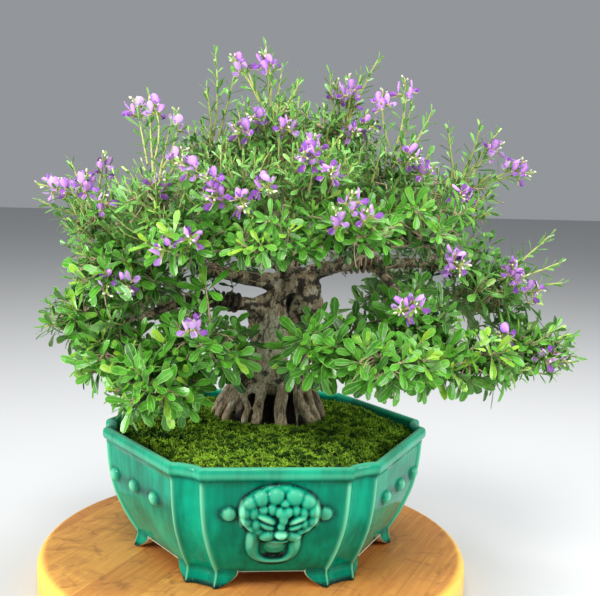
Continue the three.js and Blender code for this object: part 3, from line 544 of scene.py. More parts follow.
# Lion mask: its disc on the wall, then each mane curl's place, half width and half height
MASK_DISC = {"u": 4.0, "z": 82.0, "ru": 36.8, "rz": 26.2}
CURLS = [
    (0.1, 97.8, 6.9, 7.4), (-13.0, 95.8, 6.3, 7.4), (16.7, 96.6, 7.5, 7.4), (29.2, 92.6, 6.6, 6.9),
    (-22.6, 91.2, 6.4, 6.4), (-27.2, 82.4, 6.3, 6.6), (-27.4, 72.8, 6.6, 6.6), (-23.4, 64.6, 6.6, 6.2),
    (35.2, 83.0, 6.0, 6.6), (34.8, 73.2, 6.2, 6.6), (30.4, 64.6, 6.4, 6.0),
    (-19.0, 82.4, 4.6, 6.4), (-2.8, 86.2, 4.2, 5.8), (18.2, 84.6, 4.2, 5.8), (25.4, 82.2, 4.2, 6.2),
    (-10.6, 85.4, 4.6, 4.4), (-16.6, 71.0, 4.4, 6.8), (8.4, 91.6, 4.8, 4.0), (26.2, 72.0, 3.8, 5.4),
]
MASK_RING = {"u": -0.6, "z": 51.6, "ru": 25.4, "rz": 24.4, "squareness": 2.5}
RING_HOLE = {"u": 0.0, "z": 47.0, "ru": 13.2, "rz": 14.4, "squareness": 3.0}


def squarish(u, z, shape):
    """Reach from the middle of a rounded shape, 1 at its outline"""
    power = shape["squareness"]
    return (np.abs((u - shape["u"]) / shape["ru"]) ** power
            + np.abs((z - shape["z"]) / shape["rz"]) ** power) ** (1 / power)


# Each lump: its place across and up the face, half width, half height, how far it stands out, lean, steepness
FACE_LUMPS = [
    (4.6, 83.2, 5.6, 6.6, 6.2, 0.5, 0.6), (10.4, 83.2, 5.6, 6.6, 6.2, -0.5, 0.6),
    (7.3, 78.0, 4.8, 8.4, 6.4, 0.0, 0.6),
    (-8.4, 77.2, 10.6, 4.8, 5.6, -0.52, 0.6), (20.2, 75.8, 9.8, 4.6, 5.6, 0.46, 0.6),
    (-7.6, 70.4, 8.6, 4.2, 5.4, -0.52, 0.6), (18.6, 69.4, 8.2, 4.0, 5.4, 0.46, 0.6),
    (5.5, 69.0, 4.4, 6.6, 5.6, 0.0, 0.7),
    (-14.4, 63.4, 6.6, 6.0, 4.0, 0.0, 0.7), (22.8, 62.4, 6.2, 5.6, 4.0, 0.0, 0.7),
]
EYE_SLITS = [(-8.4, 73.6, 8.4, 1.4, 2.4, -0.52), (19.2, 72.5, 7.8, 1.4, 2.4, 0.46)]
MUZZLE_LUMPS = [(-6.4, 60.4, 9.6, 7.4, 11.0, 0.2, 0.6), (16.4, 59.6, 9.2, 7.0, 11.0, -0.2, 0.6),
                (5.4, 61.6, 7.6, 6.0, 14.6, 0.0, 0.55), (3.6, 54.0, 12.0, 3.4, 8.0)]
TONGUE = (0.8, 47.0, 10.6, 8.6, 3.6)
# Painted highlights on the brows, the nose, the ring's sides, the tongue and the disc's outer edges, in the
# pale mint of thinned glaze; then where the glaze has gathered
PAINTED_HIGHLIGHTS = [(-8.6, 76.6, 8.6, 2.8, 0.9, -0.52), (20.2, 75.4, 8.0, 2.8, 0.9, 0.46),
              (5.4, 62.6, 6.0, 3.6, 0.9), (-22.0, 54.0, 3.2, 9.0, 0.7), (21.0, 53.0, 3.2, 9.0, 0.7),
              (0.8, 49.5, 8.4, 4.4, 0.7), (-30.0, 80.0, 3.0, 14.0, 0.8), (38.0, 80.0, 3.0, 14.0, 0.8)]
POOLS = [(0.4, 36.4, 11.5, 4.6, 1.0), (0.6, 26.4, 15.0, 3.2, 0.6)]


def domes(u, z, rows):
    return np.array([dome(u, z, *row) for row in rows])


def softest_of(heights, power):
    """The highest of several lumps, with soft valleys between them"""
    return (heights ** power).sum(axis=0) ** (1 / power)


def mask_relief(u, z):
    """The lion mask with its mane and its ring, as a height over the wall"""
    reach = np.hypot((u - MASK_DISC["u"]) / MASK_DISC["ru"], (z - MASK_DISC["z"]) / MASK_DISC["rz"])
    disc = 4.6 * np.sqrt(np.clip(1 - reach**9, 0, 1))
    curls = [(cu, cz, ru * 1.14, rz * 1.14, 4.4, 0.0, 0.72) for cu, cz, ru, rz in CURLS]
    raised = softest_of(domes(u, z, curls + FACE_LUMPS), 6)
    slits = domes(u, z, EYE_SLITS).sum(axis=0)
    head = disc + (raised - slits) * smoothstep(1.05, 0.94, reach)
    head = np.maximum(head, softest_of(domes(u, z, MUZZLE_LUMPS), 8))
    outside = 1 - squarish(u, z, MASK_RING) ** 2
    inside = squarish(u, z, RING_HOLE) ** 2 - 1
    band = np.clip(np.minimum(outside * 2.4, inside * 1.2), 0, 1)
    ring = np.where(z < 66.0, 6.2 * np.sqrt(band), 0.0)
    return np.maximum.reduce([head, ring, dome(u, z, *TONGUE), np.zeros_like(head)])


MASK_STUD_HEIGHT = 80.0
SIDE_STUD_HEIGHT = 78.0
STUD_RADIUS = 6.8
STUD_SPACING = 41.0
# Half of a face's width from rib to rib, at the height of its studs
STUD_HALF_FACE = 64.8
# On the four side faces the studs sit nearer to the pot's left and right corners
STUD_SHIFTS = [0.0, 14.0, -14.0, 0.0, 14.0, -14.0]


def face_relief(face, u, z):
    """Everything that stands proud of one face of the pot"""
    if face in MASK_FACES:
        relief = mask_relief(u, z)
        studs = [(-41.0, MASK_STUD_HEIGHT), (45.0, MASK_STUD_HEIGHT)]
    else:
        relief = np.zeros_like(u)
        studs = [(STUD_SHIFTS[face] + step * STUD_SPACING, SIDE_STUD_HEIGHT) for step in (-1, 0, 1)]
    for centre_u, centre_z in studs:
        relief = np.maximum(relief, dome(u, z, centre_u, centre_z, STUD_RADIUS, STUD_RADIUS, 5.2))
    return relief


def soften(field, rounds):
    """A field over the pot's grid, blurred round it and up it"""
    for _ in range(rounds):
        field = (np.roll(field, 1, axis=1) + np.roll(field, -1, axis=1) + 2 * field) / 4
        padded = np.pad(field, ((1, 1), (0, 0)), mode="edge")
        field = (padded[:-2] + padded[2:] + 2 * field) / 4
    return field


def beside(way):
    """The heading square to another one, to its left"""
    return np.array([-way[1], way[0]])


def face_column(face, share, radius, z, fade):
    """A column of points up one face: x, y, the reliefs' and ribs' heights, painted highlights and pooled
    glaze
    """
    normal = heading(math.radians(270 + 60 * face))
    half = radius / 2 - CORNER_CUT
    u = share * half
    rib = np.exp(-((half - np.abs(u)) / 2.1) ** 2)
    relief = face_relief(face, u, z) * fade
    out = RIB_HEIGHT * fade * (rib - 1) + relief
    place = np.outer(radius * FACE_FACTOR + out, normal) + np.outer(u, beside(normal))
    pale, pooled = np.zeros((2, len(z)))
    if face in MASK_FACES:
        pale, pooled = (domes(u, z, spots).max(axis=0) * fade for spots in (PAINTED_HIGHLIGHTS, POOLS))
    return np.array([*place.T, relief, rib * fade, pale, pooled])


def flute_column(face, share, radius, flute_share, fade):
    """A column of points up the flute between a face and the next, with the same values"""
    angle = math.radians(270 + 60 * face)
    normal, corner, next_normal = heading(angle), heading(angle + TURN / 12), heading(angle + TURN / 6)
    half = radius / 2 - CORNER_CUT
    plane = radius * FACE_FACTOR
    start = np.outer(plane, normal) + np.outer(half, beside(normal))
    end = np.outer(plane, next_normal) - np.outer(half, beside(next_normal))
    near = min(share, 1 - share) * np.linalg.norm(end - start, axis=1)
    dip = FLUTE_DEPTH * flute_share * (1 - np.exp(-(near / 4.0) ** 1.6))
    place = start + (end - start) * share - np.outer(dip, corner)
    rib = np.exp(-(near / 1.6) ** 2)
    return np.array([*place.T, 0 * rib, rib * fade, 0 * rib, 0 * rib])


def glaze_fields(relief, rib, pale, pooled, first_wall, first_lip):
    """How thin, pooled or bare the glaze is over the pot's grid, and at its two middle points; the thin glaze
    also carries painted highlights
    """
    row = np.arange(len(relief))

    def band(middle, reach, strength):
        """A soft band of rows round the pot"""
        return (np.exp(-((row - middle) / reach) ** 2) * strength)[:, None]

    contrast = soften(relief, 1) - soften(relief, 12)
    # raised edges and ribs: mint of thin glaze, also standing in for painted highlights
    raised = np.clip(contrast / 2.2, 0, 1) * 0.85 + rib * 0.85
    # painted highlight bands along the top of the lip and its outer bulge
    lip_highlights = band(first_lip + 10, 2.2, 0.42) + band(first_lip + 4, 1.6, 0.25)
    # pale: the mask's painted highlights, in the mint of thin glaze
    thin = np.clip(raised + pale * 0.6 + lip_highlights, 0, 1)
    inside = (row > first_lip + 14)[:, None] * 0.5
    ledges = band(first_lip - 1, 2.0, 0.55) + band(first_wall + 3, 3.0, 0.35) + inside
    pool = np.clip(np.clip(-contrast / 1.1 + pooled, 0, 1) + ledges * (1 - raised), 0, 1)
    bare = np.repeat(row <= first_wall, relief.shape[1])
    return {"thin": np.append(thin, [0.0, 0.0]), "pool": np.append(pool, [0.0, 0.0]),
            "bare": np.append(bare, [1.0, 1.0])}


def pot_shell():
    """The glazed body: its points, its faces and the fields of its glaze"""
    parts = [interpolate_rows(rows, steps) for rows, steps in
             ((UNDERSIDE_ROWS, 4), (WALL_ROWS, 104), (LIP_ROWS, 16), (INNER_ROWS, 12))]
    radius, z = np.concatenate(parts, axis=1)
    first_wall, first_lip, first_inner = np.cumsum([len(heights) for _, heights in parts])[:3]
    row = np.arange(len(z))
    # ribs and reliefs fade out under the lip, and the flutes run on over it
    fade = np.where((row >= first_wall) & (row < first_lip), smoothstep(112.0, 105.0, z), 0.0)
    flute_share = np.select([row < first_lip, row < first_inner], [1.0, 0.85], 0.0)
    columns = [face_column(face, share, radius, z, fade) if kind == "face"
               else flute_column(face, share, radius, flute_share, fade)
               for kind, face, share in pot_columns()]
    x, y, relief, rib, pale, pooled = np.stack(columns, axis=-1)
    points = np.column_stack([x.ravel(), y.ravel(), np.repeat(z, len(columns))])
    points = np.vstack([points, [0.0, 0.0, UNDERSIDE_ROWS[0][1]], [0.0, 0.0, INNER_ROWS[-1][1]]])
    fields = glaze_fields(relief, rib, pale, pooled, first_wall, first_lip)
    return points, closed_rings(len(z), len(columns)), fields


# Feet: their reach from the pot's middle, the width of their flute, and how far they stand up into the body
FOOT_REACH, FOOT_FLUTE, FOOT_TOP = 137.7, 30.6, 19.0
# Shares of a foot's arm, from its rib to its end, and of the flute between the two ribs
ARM_SHARES = (0.08, 0.2, 0.45, 0.7, 0.94, 1.0)
FLUTE_SHARES = (0.0, 0.06, 0.15, 0.3, 0.5, 0.7, 0.85, 0.94, 1.0)
FOOT_HEIGHTS = (0.0, 0.35, 1.0, 2.2, 4.0, 6.5, 9.0, 11.5, 13.5, 15.0, 16.6, FOOT_TOP)


def arm_points(rib, way, inward, run, shares):
    """Places along one arm of a foot: bowed beside its rib and rounded at its end"""
    places = []
    for share in shares:
        sag = 0.9 * math.exp(-((share * run) / 2.4) ** 2) - 0.9
        corner_round = 1.2 * max(0.0, (share - 0.9) / 0.1)
        places.append(rib + way * run * share - inward * sag + inward * corner_round)
    return places


def foot_ring(angle, z):
    """A foot's outline at one height: one arm, the flute, the other arm, then round the back"""
    outward = heading(angle)
    rounding = 1.6 * max(0.0, 1 - z / 1.2) ** 2
    flare = (1 - smoothstep(2.0, 14.0, z)) * 2.6
    rise = min(z / 15.0, 1.0)
    run = 3.0 + 17.5 * (1 - (1 - rise) ** 1.8) - rounding
    depth = 11.0 + 5.0 * rise
    tip = outward * (FOOT_REACH + flare - rounding)
    ribs, arms, fronts, backs = [], [], [], []
    for side in (-1, 1):
        way, inward = heading(angle + side * TURN / 3), -heading(angle + side * TURN / 12)
        rib = tip + way * CORNER_CUT
        ribs.append(rib)
        arms.append(arm_points(rib, way, inward, run, ARM_SHARES))
        fronts.append(rib + way * run)
        backs.append(rib + way * run + inward * depth)
    ring = arms[0][::-1]
    for share in FLUTE_SHARES:
        near = min(share, 1 - share) * FOOT_FLUTE
        dip = FLUTE_DEPTH * 0.9 * (1 - math.exp(-(near / 4.0) ** 1.6))
        ring.append(ribs[0] + (ribs[1] - ribs[0]) * share - outward * dip)
    middle = tip - outward * (CORNER_CUT / 2 + depth * 1.25)
    ends = [back * 0.3 + front * 0.7 for back, front in zip(backs, fronts)]
    return ring + arms[1] + [ends[1], backs[1], (backs[1] + middle) / 2, middle, (backs[0] + middle) / 2,
                             backs[0], ends[0]]


# Places in a foot's outline: its two ribs, and where its glazed front ends
FOOT_RIBS = (len(ARM_SHARES), len(ARM_SHARES) + len(FLUTE_SHARES) - 1)
FRONT_END = 2 * len(ARM_SHARES) + len(FLUTE_SHARES) - 1


def foot_shell(corner):
    """A bracket foot that wraps one corner; its arms swell from the ground up to the body's underside"""
    angle = corner / 6 * TURN
    points, thin, pool, bare = [], [], [], []
    for z in FOOT_HEIGHTS:
        pooled = np.interp(z, [0.3, 1.5, 3.5, 6.5, 12.0, 16.0], [0.7, 1.0, 0.95, 0.3, 0.15, 0.5])
        for k, (x, y) in enumerate(foot_ring(angle, z)):
            points.append((x, y, z))
            # thin mint glaze on the foot's ribs, also a painted highlight
            thin.append(0.65 if k in FOOT_RIBS and z > 3 else 0.0)
            pool.append(pooled)
            bare.append(0.0 if 0 < k < FRONT_END and z >= 0.3 else 1.0)
    faces = closed_rings(len(FOOT_HEIGHTS), len(points) // len(FOOT_HEIGHTS))
    middle = heading(angle) * (137.0 - CORNER_CUT)
    points += [(*middle, 0.0), (*middle, FOOT_TOP)]
    fields = {"thin": [*thin, 0.0, 0.0], "pool": [*pool, 0.0, 0.0], "bare": [*bare, 1.0, 1.0]}
    return np.array(points), faces, fields


def make_pot():
    shells = [pot_shell()] + [foot_shell(corner) for corner in range(6)]
    points, faces = join_shells([(shell[0], shell[1]) for shell in shells])
    fields = {key: np.concatenate([np.asarray(shell[2][key]) for shell in shells]) for key in shells[0][2]}
    hand_over(make_piece("glazed_pot", points, faces, GLAZE, fields), "pot")


make_pot()


# Board: turned from glued strips, with a rounded edge
BOARD_RADIUS = 216.0
TOP_ROUND, UNDER_ROUND = 10.0, 6.0


def make_board():
    rings = [(60.0, 0.0), (140.0, 0.0), (BOARD_RADIUS - UNDER_ROUND, 0.0)]
    for k in range(1, 7):
        angle = k / 6 * TURN / 4
        rings.append((BOARD_RADIUS - UNDER_ROUND + UNDER_ROUND * math.sin(angle),
                      UNDER_ROUND - UNDER_ROUND * math.cos(angle)))
    for k in range(0, 9):
        angle = k / 8 * TURN / 4
        rings.append((BOARD_RADIUS - TOP_ROUND + TOP_ROUND * math.cos(angle),
                      BOARD_THICKNESS - TOP_ROUND + TOP_ROUND * math.sin(angle)))
    rings += [(190.0, BOARD_THICKNESS), (150.0, BOARD_THICKNESS), (80.0, BOARD_THICKNESS)]
    columns = 180
    points = [(r * math.cos(j / columns * TURN), r * math.sin(j / columns * TURN), z)
              for r, z in rings for j in range(columns)]
    side = [smoothstep(BOARD_RADIUS - 9, BOARD_RADIUS - 3, r) for r, z in rings for j in range(columns)]
    points += [(0.0, 0.0, 0.0), (0.0, 0.0, BOARD_THICKNESS)]
    side += [0.0, 0.0]
    faces = closed_rings(len(rings), columns)
    piece = make_piece("strip_board", np.array(points) - POT_PLACE, faces, BOARD, {"side": side})
    hand_over(piece, "display_board")


make_board()

# Soil and moss: a mound from the pot's wall up to the root flare
SOIL_EDGE, SOIL_MIDDLE = 110.0, 125.0
ROOT_WELL = {"x": 6.0, "y": 14.0, "rx": 66.0, "ry": 56.0}
# The pot's hollow: its radius, and half the angle of its cut corners
CAVITY_RADIUS, CAVITY_CUT = 151.6, 0.12
LOOP_POINTS = 150


def lifted(flat, height):
    """A flat loop of points, raised to a height or each to its own"""
    return np.column_stack([flat, np.broadcast_to(height, len(flat))])


def on_mound(flat, over):
    """A flat loop of points, raised over the mound"""
    reach = np.minimum(1.0, np.hypot(*flat.T) / 140.0)
    return lifted(flat, SOIL_MIDDLE + (SOIL_EDGE - SOIL_MIDDLE) * reach**2 + over)


def wall_reach(angle):
    """Distance from the middle to the hollow's wall, a hexagon with its corners cut flat"""
    step = TURN / 6
    corner = np.round(angle / step) * step
    face = (np.floor(angle / step) + 0.5) * step
    flat_corner = CAVITY_RADIUS * math.cos(CAVITY_CUT) / np.cos(angle - corner)
    flat_face = CAVITY_RADIUS * math.cos(TURN / 12 - CAVITY_CUT) / np.cos(angle - face)
    return np.minimum(flat_corner, flat_face) - 1.0


def mound_loops(shares):
    """Loops of points from the root well's edge out to the pot's wall"""
    angle = np.arange(LOOP_POINTS) / LOOP_POINTS * TURN
    inner = np.column_stack([ROOT_WELL["x"] + ROOT_WELL["rx"] * np.cos(angle),
                             ROOT_WELL["y"] + ROOT_WELL["ry"] * np.sin(angle)])
    reach = wall_reach(angle)
    outer = np.column_stack([reach * np.cos(angle), reach * np.sin(angle)])
    return [inner + (outer - inner) * share for share in shares]


def noise_at(points, scale, seed=0.0):
    """Smooth noise, about -1 to 1, at places in millimetres; scale is the size of one lump"""
    return np.array([noise.noise(Vector((x / scale + seed, y / scale - seed, z / scale + 2 * seed)))
                     for x, y, z in points])


def make_soil():
    """Damp soil: clods between the roots, and a skin under the moss and down the wall"""
    well = np.array([ROOT_WELL["x"], ROOT_WELL["y"]])
    edge, wall = mound_loops([0.0, 1.0])
    well_parts = (0.12, 0.3, 0.48, 0.66, 0.84)
    loops = [lifted(well + (edge - well) * part, 121.0 + 3.0 * (1 - part)) for part in well_parts]
    loops += [on_mound(flat, 0.3) for flat in mound_loops([0.0, 0.35, 0.7, 1.0])]
    loops += [lifted(wall * scale, z) for scale, z in ((0.99, 92.0), (0.965, 62.0), (0.86, 28.0))]
    points = np.concatenate(loops)
    clods = points[:len(well_parts) * LOOP_POINTS]
    clods[:, 2] += noise_at(clods, 8.0, 3.1) * 3.0 + noise_at(clods, 3.4, 7.7) * 1.6
    points = np.vstack([points, [*well, 124.0], [0.0, 0.0, 27.4]])
    faces = [tuple(reversed(face)) for face in closed_rings(len(loops), LOOP_POINTS)]
    hand_over(make_piece("potting_soil", points, faces, SOIL), "soil")


make_soil()


def moss_tuft(name, rays, seed):
    """A star of pointed moss leaflets that stand up round a tip, closed below"""
    draw = random.Random(seed)
    points, faces, tips = [(0.0, 0.0, 1.4)], [], [0.75]
    for k in range(2 * rays):
        angle = k / (2 * rays) * TURN + draw.uniform(-0.14, 0.14)
        outer = k % 2 == 0
        reach = draw.uniform(1.7, 3.0) if outer else draw.uniform(0.7, 1.0)
        rise = draw.uniform(1.2, 3.4) if outer else draw.uniform(-0.3, 0.2)
        points.append((reach * math.cos(angle), reach * math.sin(angle), rise))
        # painted shade through the tip value: the leaflets' points light, the notches between them and the
        # closed bottom dark
        tips.append(1.0 if outer else 0.1)
    points.append((0.0, 0.0, -1.8))
    tips.append(0.0)
    for k in range(2 * rays):
        nearby = (k + 1) % (2 * rays)
        faces.append((0, 1 + k, 1 + nearby))
        faces.append((2 * rays + 1, 1 + nearby, 1 + k))
    mesh = bpy.data.meshes.new(name)
    mesh.from_pydata([(x * MM, y * MM, z * MM) for x, y, z in points], [], faces)
    store(mesh, {"tip": tips})
    return bpy.data.objects.new(name, mesh)


def template_collection(name, objects):
    """A collection of shapes to repeat, kept out of the view"""
    collection = bpy.data.collections.new(name)
    for shape in objects:
        collection.objects.link(shape)
    return collection


def drop_templates(collection):
    for shape in list(collection.objects):
        mesh = shape.data
        bpy.data.objects.remove(shape)
        bpy.data.meshes.remove(mesh)
    bpy.data.collections.remove(collection)


def node_tree(name, inputs):
    """An empty geometry tree with named inputs, its input and output nodes, and each input's identifier"""
    tree = bpy.data.node_groups.new(name, "GeometryNodeTree")
    tree.interface.new_socket("Geometry", in_out="INPUT", socket_type="NodeSocketGeometry")
    tree.interface.new_socket("Geometry", in_out="OUTPUT", socket_type="NodeSocketGeometry")
    keys = {}
    for label, kind in inputs.items():
        keys[label] = tree.interface.new_socket(label, in_out="INPUT", socket_type=kind).identifier
    return tree, tree.nodes.new("NodeGroupInput"), tree.nodes.new("NodeGroupOutput"), keys


def real_copies(tree, placed, material):
    """Copies made real, with their material"""
    real = add_node(tree, "GeometryNodeRealizeInstances", {}, {"Geometry": placed.outputs[0]})
    return with_material(tree, real, material)


def with_material(tree, shape, material):
    return add_node(tree, "GeometryNodeSetMaterial", {}, {"Geometry": shape.outputs[0], "Material": material})


def join_up(tree, result, *sockets):
    """Joins the parts into the tree's result"""
    whole = add_node(tree, "GeometryNodeJoinGeometry")
    for socket in sockets:
        tree.links.new(socket, whole.inputs[0])
    tree.links.new(whole.outputs[0], result.inputs[0])


def template_shapes(tree, collection):
    return add_node(tree, "GeometryNodeCollectionInfo", {}, {
        "Collection": collection, "Separate Children": True, "Reset Children": True,
    }).outputs[0]


def settle(piece, modifier):
    """Makes what a modifier gives the piece's own plain mesh"""
    graph = bpy.context.evaluated_depsgraph_get()
    made = bpy.data.meshes.new_from_object(piece.evaluated_get(graph), depsgraph=graph)
    piece.modifiers.remove(modifier)
    old = piece.data
    made.name = old.name
    piece.data = made
    bpy.data.meshes.remove(old)
    return piece


def grow(piece, tree, keys, values):
    """Runs a geometry tree on a piece, and keeps its result"""
    modifier = piece.modifiers.new("growth", "NODES")
    modifier.node_group = tree
    for label, value in values.items():
        modifier[keys[label]] = value
    return settle(piece, modifier)


# Carpet tree: scatters tufts over the upper faces of a mound, upright on the surface
def carpet_tree():
    tree, given, result, keys = node_tree("moss carpet", {
        "Tufts": "NodeSocketCollection", "Tufts per square metre": "NodeSocketFloat",
        "Smallest": "NodeSocketFloat", "Largest": "NodeSocketFloat", "Seed": "NodeSocketInt",
        "Material": "NodeSocketMaterial",
    })
    top = add_node(tree, "GeometryNodeInputNamedAttribute", {"data_type": "FLOAT"}, {"Name": "carpet"})
    spread = add_node(tree, "GeometryNodeDistributePointsOnFaces", {"distribute_method": "RANDOM"}, {
        "Mesh": given.outputs["Geometry"], "Selection": top.outputs["Attribute"],
        "Density": given.outputs["Tufts per square metre"], "Seed": given.outputs["Seed"],
    })
    shapes = template_shapes(tree, given.outputs["Tufts"])
    size = add_node(tree, "FunctionNodeRandomValue", {"data_type": "FLOAT"}, {
        2: given.outputs["Smallest"], 3: given.outputs["Largest"], "Seed": given.outputs["Seed"],
    })
    turn = add_node(tree, "FunctionNodeRandomValue", {"data_type": "FLOAT_VECTOR"}, {
        0: (-0.6, -0.6, 0.0), 1: (0.6, 0.6, TURN), "Seed": given.outputs["Seed"],
    })
    tone = add_node(tree, "FunctionNodeRandomValue", {"data_type": "FLOAT"}, {2: 0.0, 3: 1.0, "Seed": 5})
    marked = add_node(tree, "GeometryNodeStoreNamedAttribute", {"data_type": "FLOAT", "domain": "POINT"}, {
        "Geometry": spread.outputs["Points"], "Name": "tone", "Value": tone.outputs[1],
    })
    rolled = add_node(tree, "FunctionNodeEulerToRotation", {}, {"Euler": turn.outputs[0]})
    placed = add_node(tree, "GeometryNodeInstanceOnPoints", {}, {
        "Points": marked.outputs["Geometry"], "Instance": shapes, "Pick Instance": True,
        "Rotation": rolled.outputs[0], "Scale": size.outputs[1],
    })
    tufts = real_copies(tree, placed, given.outputs["Material"])
    join_up(tree, result, given.outputs["Geometry"], tufts.outputs[0])
    return tree, keys


# The moss's inner edge, as a share of the way from the root well to the wall
MOSS_EDGE = -0.15


def make_moss():
    """A cushion that rises at both its edges, with tufts all over it"""
    shares = np.concatenate([[MOSS_EDGE], np.linspace(-0.135, 0.985, 40), [1.0]])
    from_edge = shares - MOSS_EDGE
    swell = 7.6 * (1 - np.exp(-from_edge / 0.07)) * (1 - 0.55 * smoothstep(0.8, 1.0, shares))
    top = np.concatenate([on_mound(flat, over) for flat, over in zip(mound_loops(shares), swell)])
    calm = np.repeat(np.clip(np.minimum(from_edge, 1 - shares) / 0.05, 0.15, 1), LOOP_POINTS)
    lumps = noise_at(top, 24.0, 1.3) * 2.6 + noise_at(top, 10.0, 4.2) * 3.4 + noise_at(top, 4.0, 9.1) * 0.8
    top[:, 2] += lumps * calm
    under = np.concatenate([on_mound(flat, 0.7) for flat in mound_loops([1.0, 0.5, MOSS_EDGE])])
    points = np.concatenate([top, under])
    count, total = LOOP_POINTS, len(points) // LOOP_POINTS
    faces = []
    for i in range(total):
        for j in range(count):
            nearby, above = (j + 1) % count, (i + 1) % total
            faces.append((i * count + j, above * count + j, above * count + nearby, i * count + nearby))
    # painted shade through the tip value: darker in the carpet's hollows and black on its hidden underside
    fields = {"carpet": [1.0] * len(top) + [0.0] * len(under),
              "tip": [*(0.08 + 0.3 * np.clip(lumps / 4 + 0.5, 0, 1))] + [0.0] * len(under),
              "tone": [0.35] * len(points)}
    piece = make_piece("moss_carpet", points, faces, MOSS, fields)
    tufts = template_collection("tufts", [moss_tuft("tuft_a", 5, 1), moss_tuft("tuft_b", 6, 2),
                                          moss_tuft("tuft_c", 4, 3)])
    tree, keys = carpet_tree()
    grow(piece, tree, keys, {"Tufts": tufts, "Tufts per square metre": 98000.0, "Smallest": 0.75,
                             "Largest": 1.5, "Seed": 11, "Material": MOSS})
    drop_templates(tufts)
    hand_over(piece, "moss")


make_moss()

# Wood: the trunk's pieces as paths with a thickness at each point
TRUNK_PATHS = {
    "column": ([(6, 16, 152), (5, 14, 162), (3, 12, 174), (4, 12, 196), (5, 12, 214), (8, 13, 230),
                (14, 14, 246), (22, 18, 262), (20, 22, 280)],
               [15, 19, 21, 17.5, 16, 16.5, 16, 17, 13]),
    # cores: the root mass behind the legs, kept nearly black by painted shade
    "core_left": ([(-8, 28, 110), (-6, 27, 140), (0, 22, 158)], [25, 23, 18]),
    "core_right": ([(24, 27, 110), (24, 26, 140), (20, 21, 160)], [25, 23, 18]),
    "column_left": ([(-8, 10, 172), (-7, 8, 192), (-6, 10, 212), (-3, 14, 232)], [12, 8.5, 8, 9]),
    "knob": ([(20, 20, 214), (31, 16, 226), (41, 13, 240), (43, 12, 254), (38, 14, 268), (27, 18, 276)],
             [8, 12, 13.5, 13, 12, 10]),
    "strand": ([(2, 16, 250), (-11, 12, 246), (-16, 10, 234), (-13, 8, 220), (-14, 8, 206), (-20, 8, 190),
                (-18, 10, 170)], [8, 7, 5.5, 5, 5, 5.5, 7]),
    "loop": ([(-13, 12, 228), (-20, 10, 216), (-27, 8, 214), (-36, 6, 220)], [4.5, 3.6, 3, 2]),
    "hook": ([(-29, 4, 204), (-26, 2, 196), (-20, 2, 186), (-14, 6, 176)], [3.2, 4.6, 5, 6]),
}
ROOT_PATHS = [
    ([(-14, 14, 172), (-28, 10, 163), (-38, 14, 156), (-47, 18, 143), (-53, 22, 128), (-56, 24, 112)],
     [12, 8, 5.6, 4.4, 4.2, 4]),
    ([(-12, 8, 172), (-24, 0, 163), (-34, 0, 156), (-42, 0, 145), (-49, -2, 133), (-52, -2, 112)],
     [11, 7, 5.4, 4.6, 4.4, 4.2]),
    ([(-10, 4, 174), (-20, -6, 164), (-29, -8, 156), (-35, -10, 146), (-41, -12, 134), (-44, -13, 112)],
     [9, 6.2, 5.2, 4.6, 4.2, 4]),
    ([(-6, 0, 174), (-14, -9, 164), (-24, -13, 156), (-20, -17, 146), (-23, -21, 134), (-25, -23, 112)],
     [7, 4.6, 3.4, 3.2, 3.6, 3.4]),
    ([(0, 0, 180), (-5, -8, 166), (-8, -15, 152), (-10, -21, 140), (-12, -26, 128), (-12, -28, 112)],
     [9, 6.2, 5, 4.8, 5.8, 5]),
    ([(14, 2, 182), (17, -8, 168), (14, -15, 156), (12, -22, 145), (13, -29, 130), (14, -32, 112)],
     [9, 7.2, 6.0, 5.8, 6.6, 6]),
    ([(24, 4, 172), (28, -4, 160), (28, -9, 148), (30, -13, 134), (31, -15, 112)], [5, 2.4, 1.8, 1.8, 1.8]),
    ([(24, 8, 178), (32, 0, 166), (32, -6, 154), (37, -12, 142), (42, -16, 130), (44, -18, 112)],
     [8, 4.8, 4.4, 5, 5.4, 4.6]),
    ([(28, 10, 174), (38, 4, 164), (43, -1, 154), (46, -5, 142), (51, -8, 130), (54, -10, 112)],
     [8, 5, 4.4, 4.4, 4.6, 4.4]),
    ([(26, 14, 174), (40, 14, 165), (49, 14, 154), (54, 15, 142), (58, 16, 129), (61, 17, 112)],
     [10, 6, 5, 4.8, 5, 4.6]),
    ([(20, 22, 172), (34, 34, 160), (42, 40, 144), (47, 44, 128), (50, 46, 112)], [12, 7, 5.6, 5.4, 5]),
    ([(6, 26, 174), (8, 42, 160), (8, 52, 142), (8, 57, 127), (8, 60, 112)], [12, 7.4, 6, 5.6, 5]),
    ([(-12, 22, 172), (-24, 36, 160), (-30, 45, 144), (-35, 50, 128), (-38, 53, 112)], [12, 7, 5.6, 5, 5]),
]
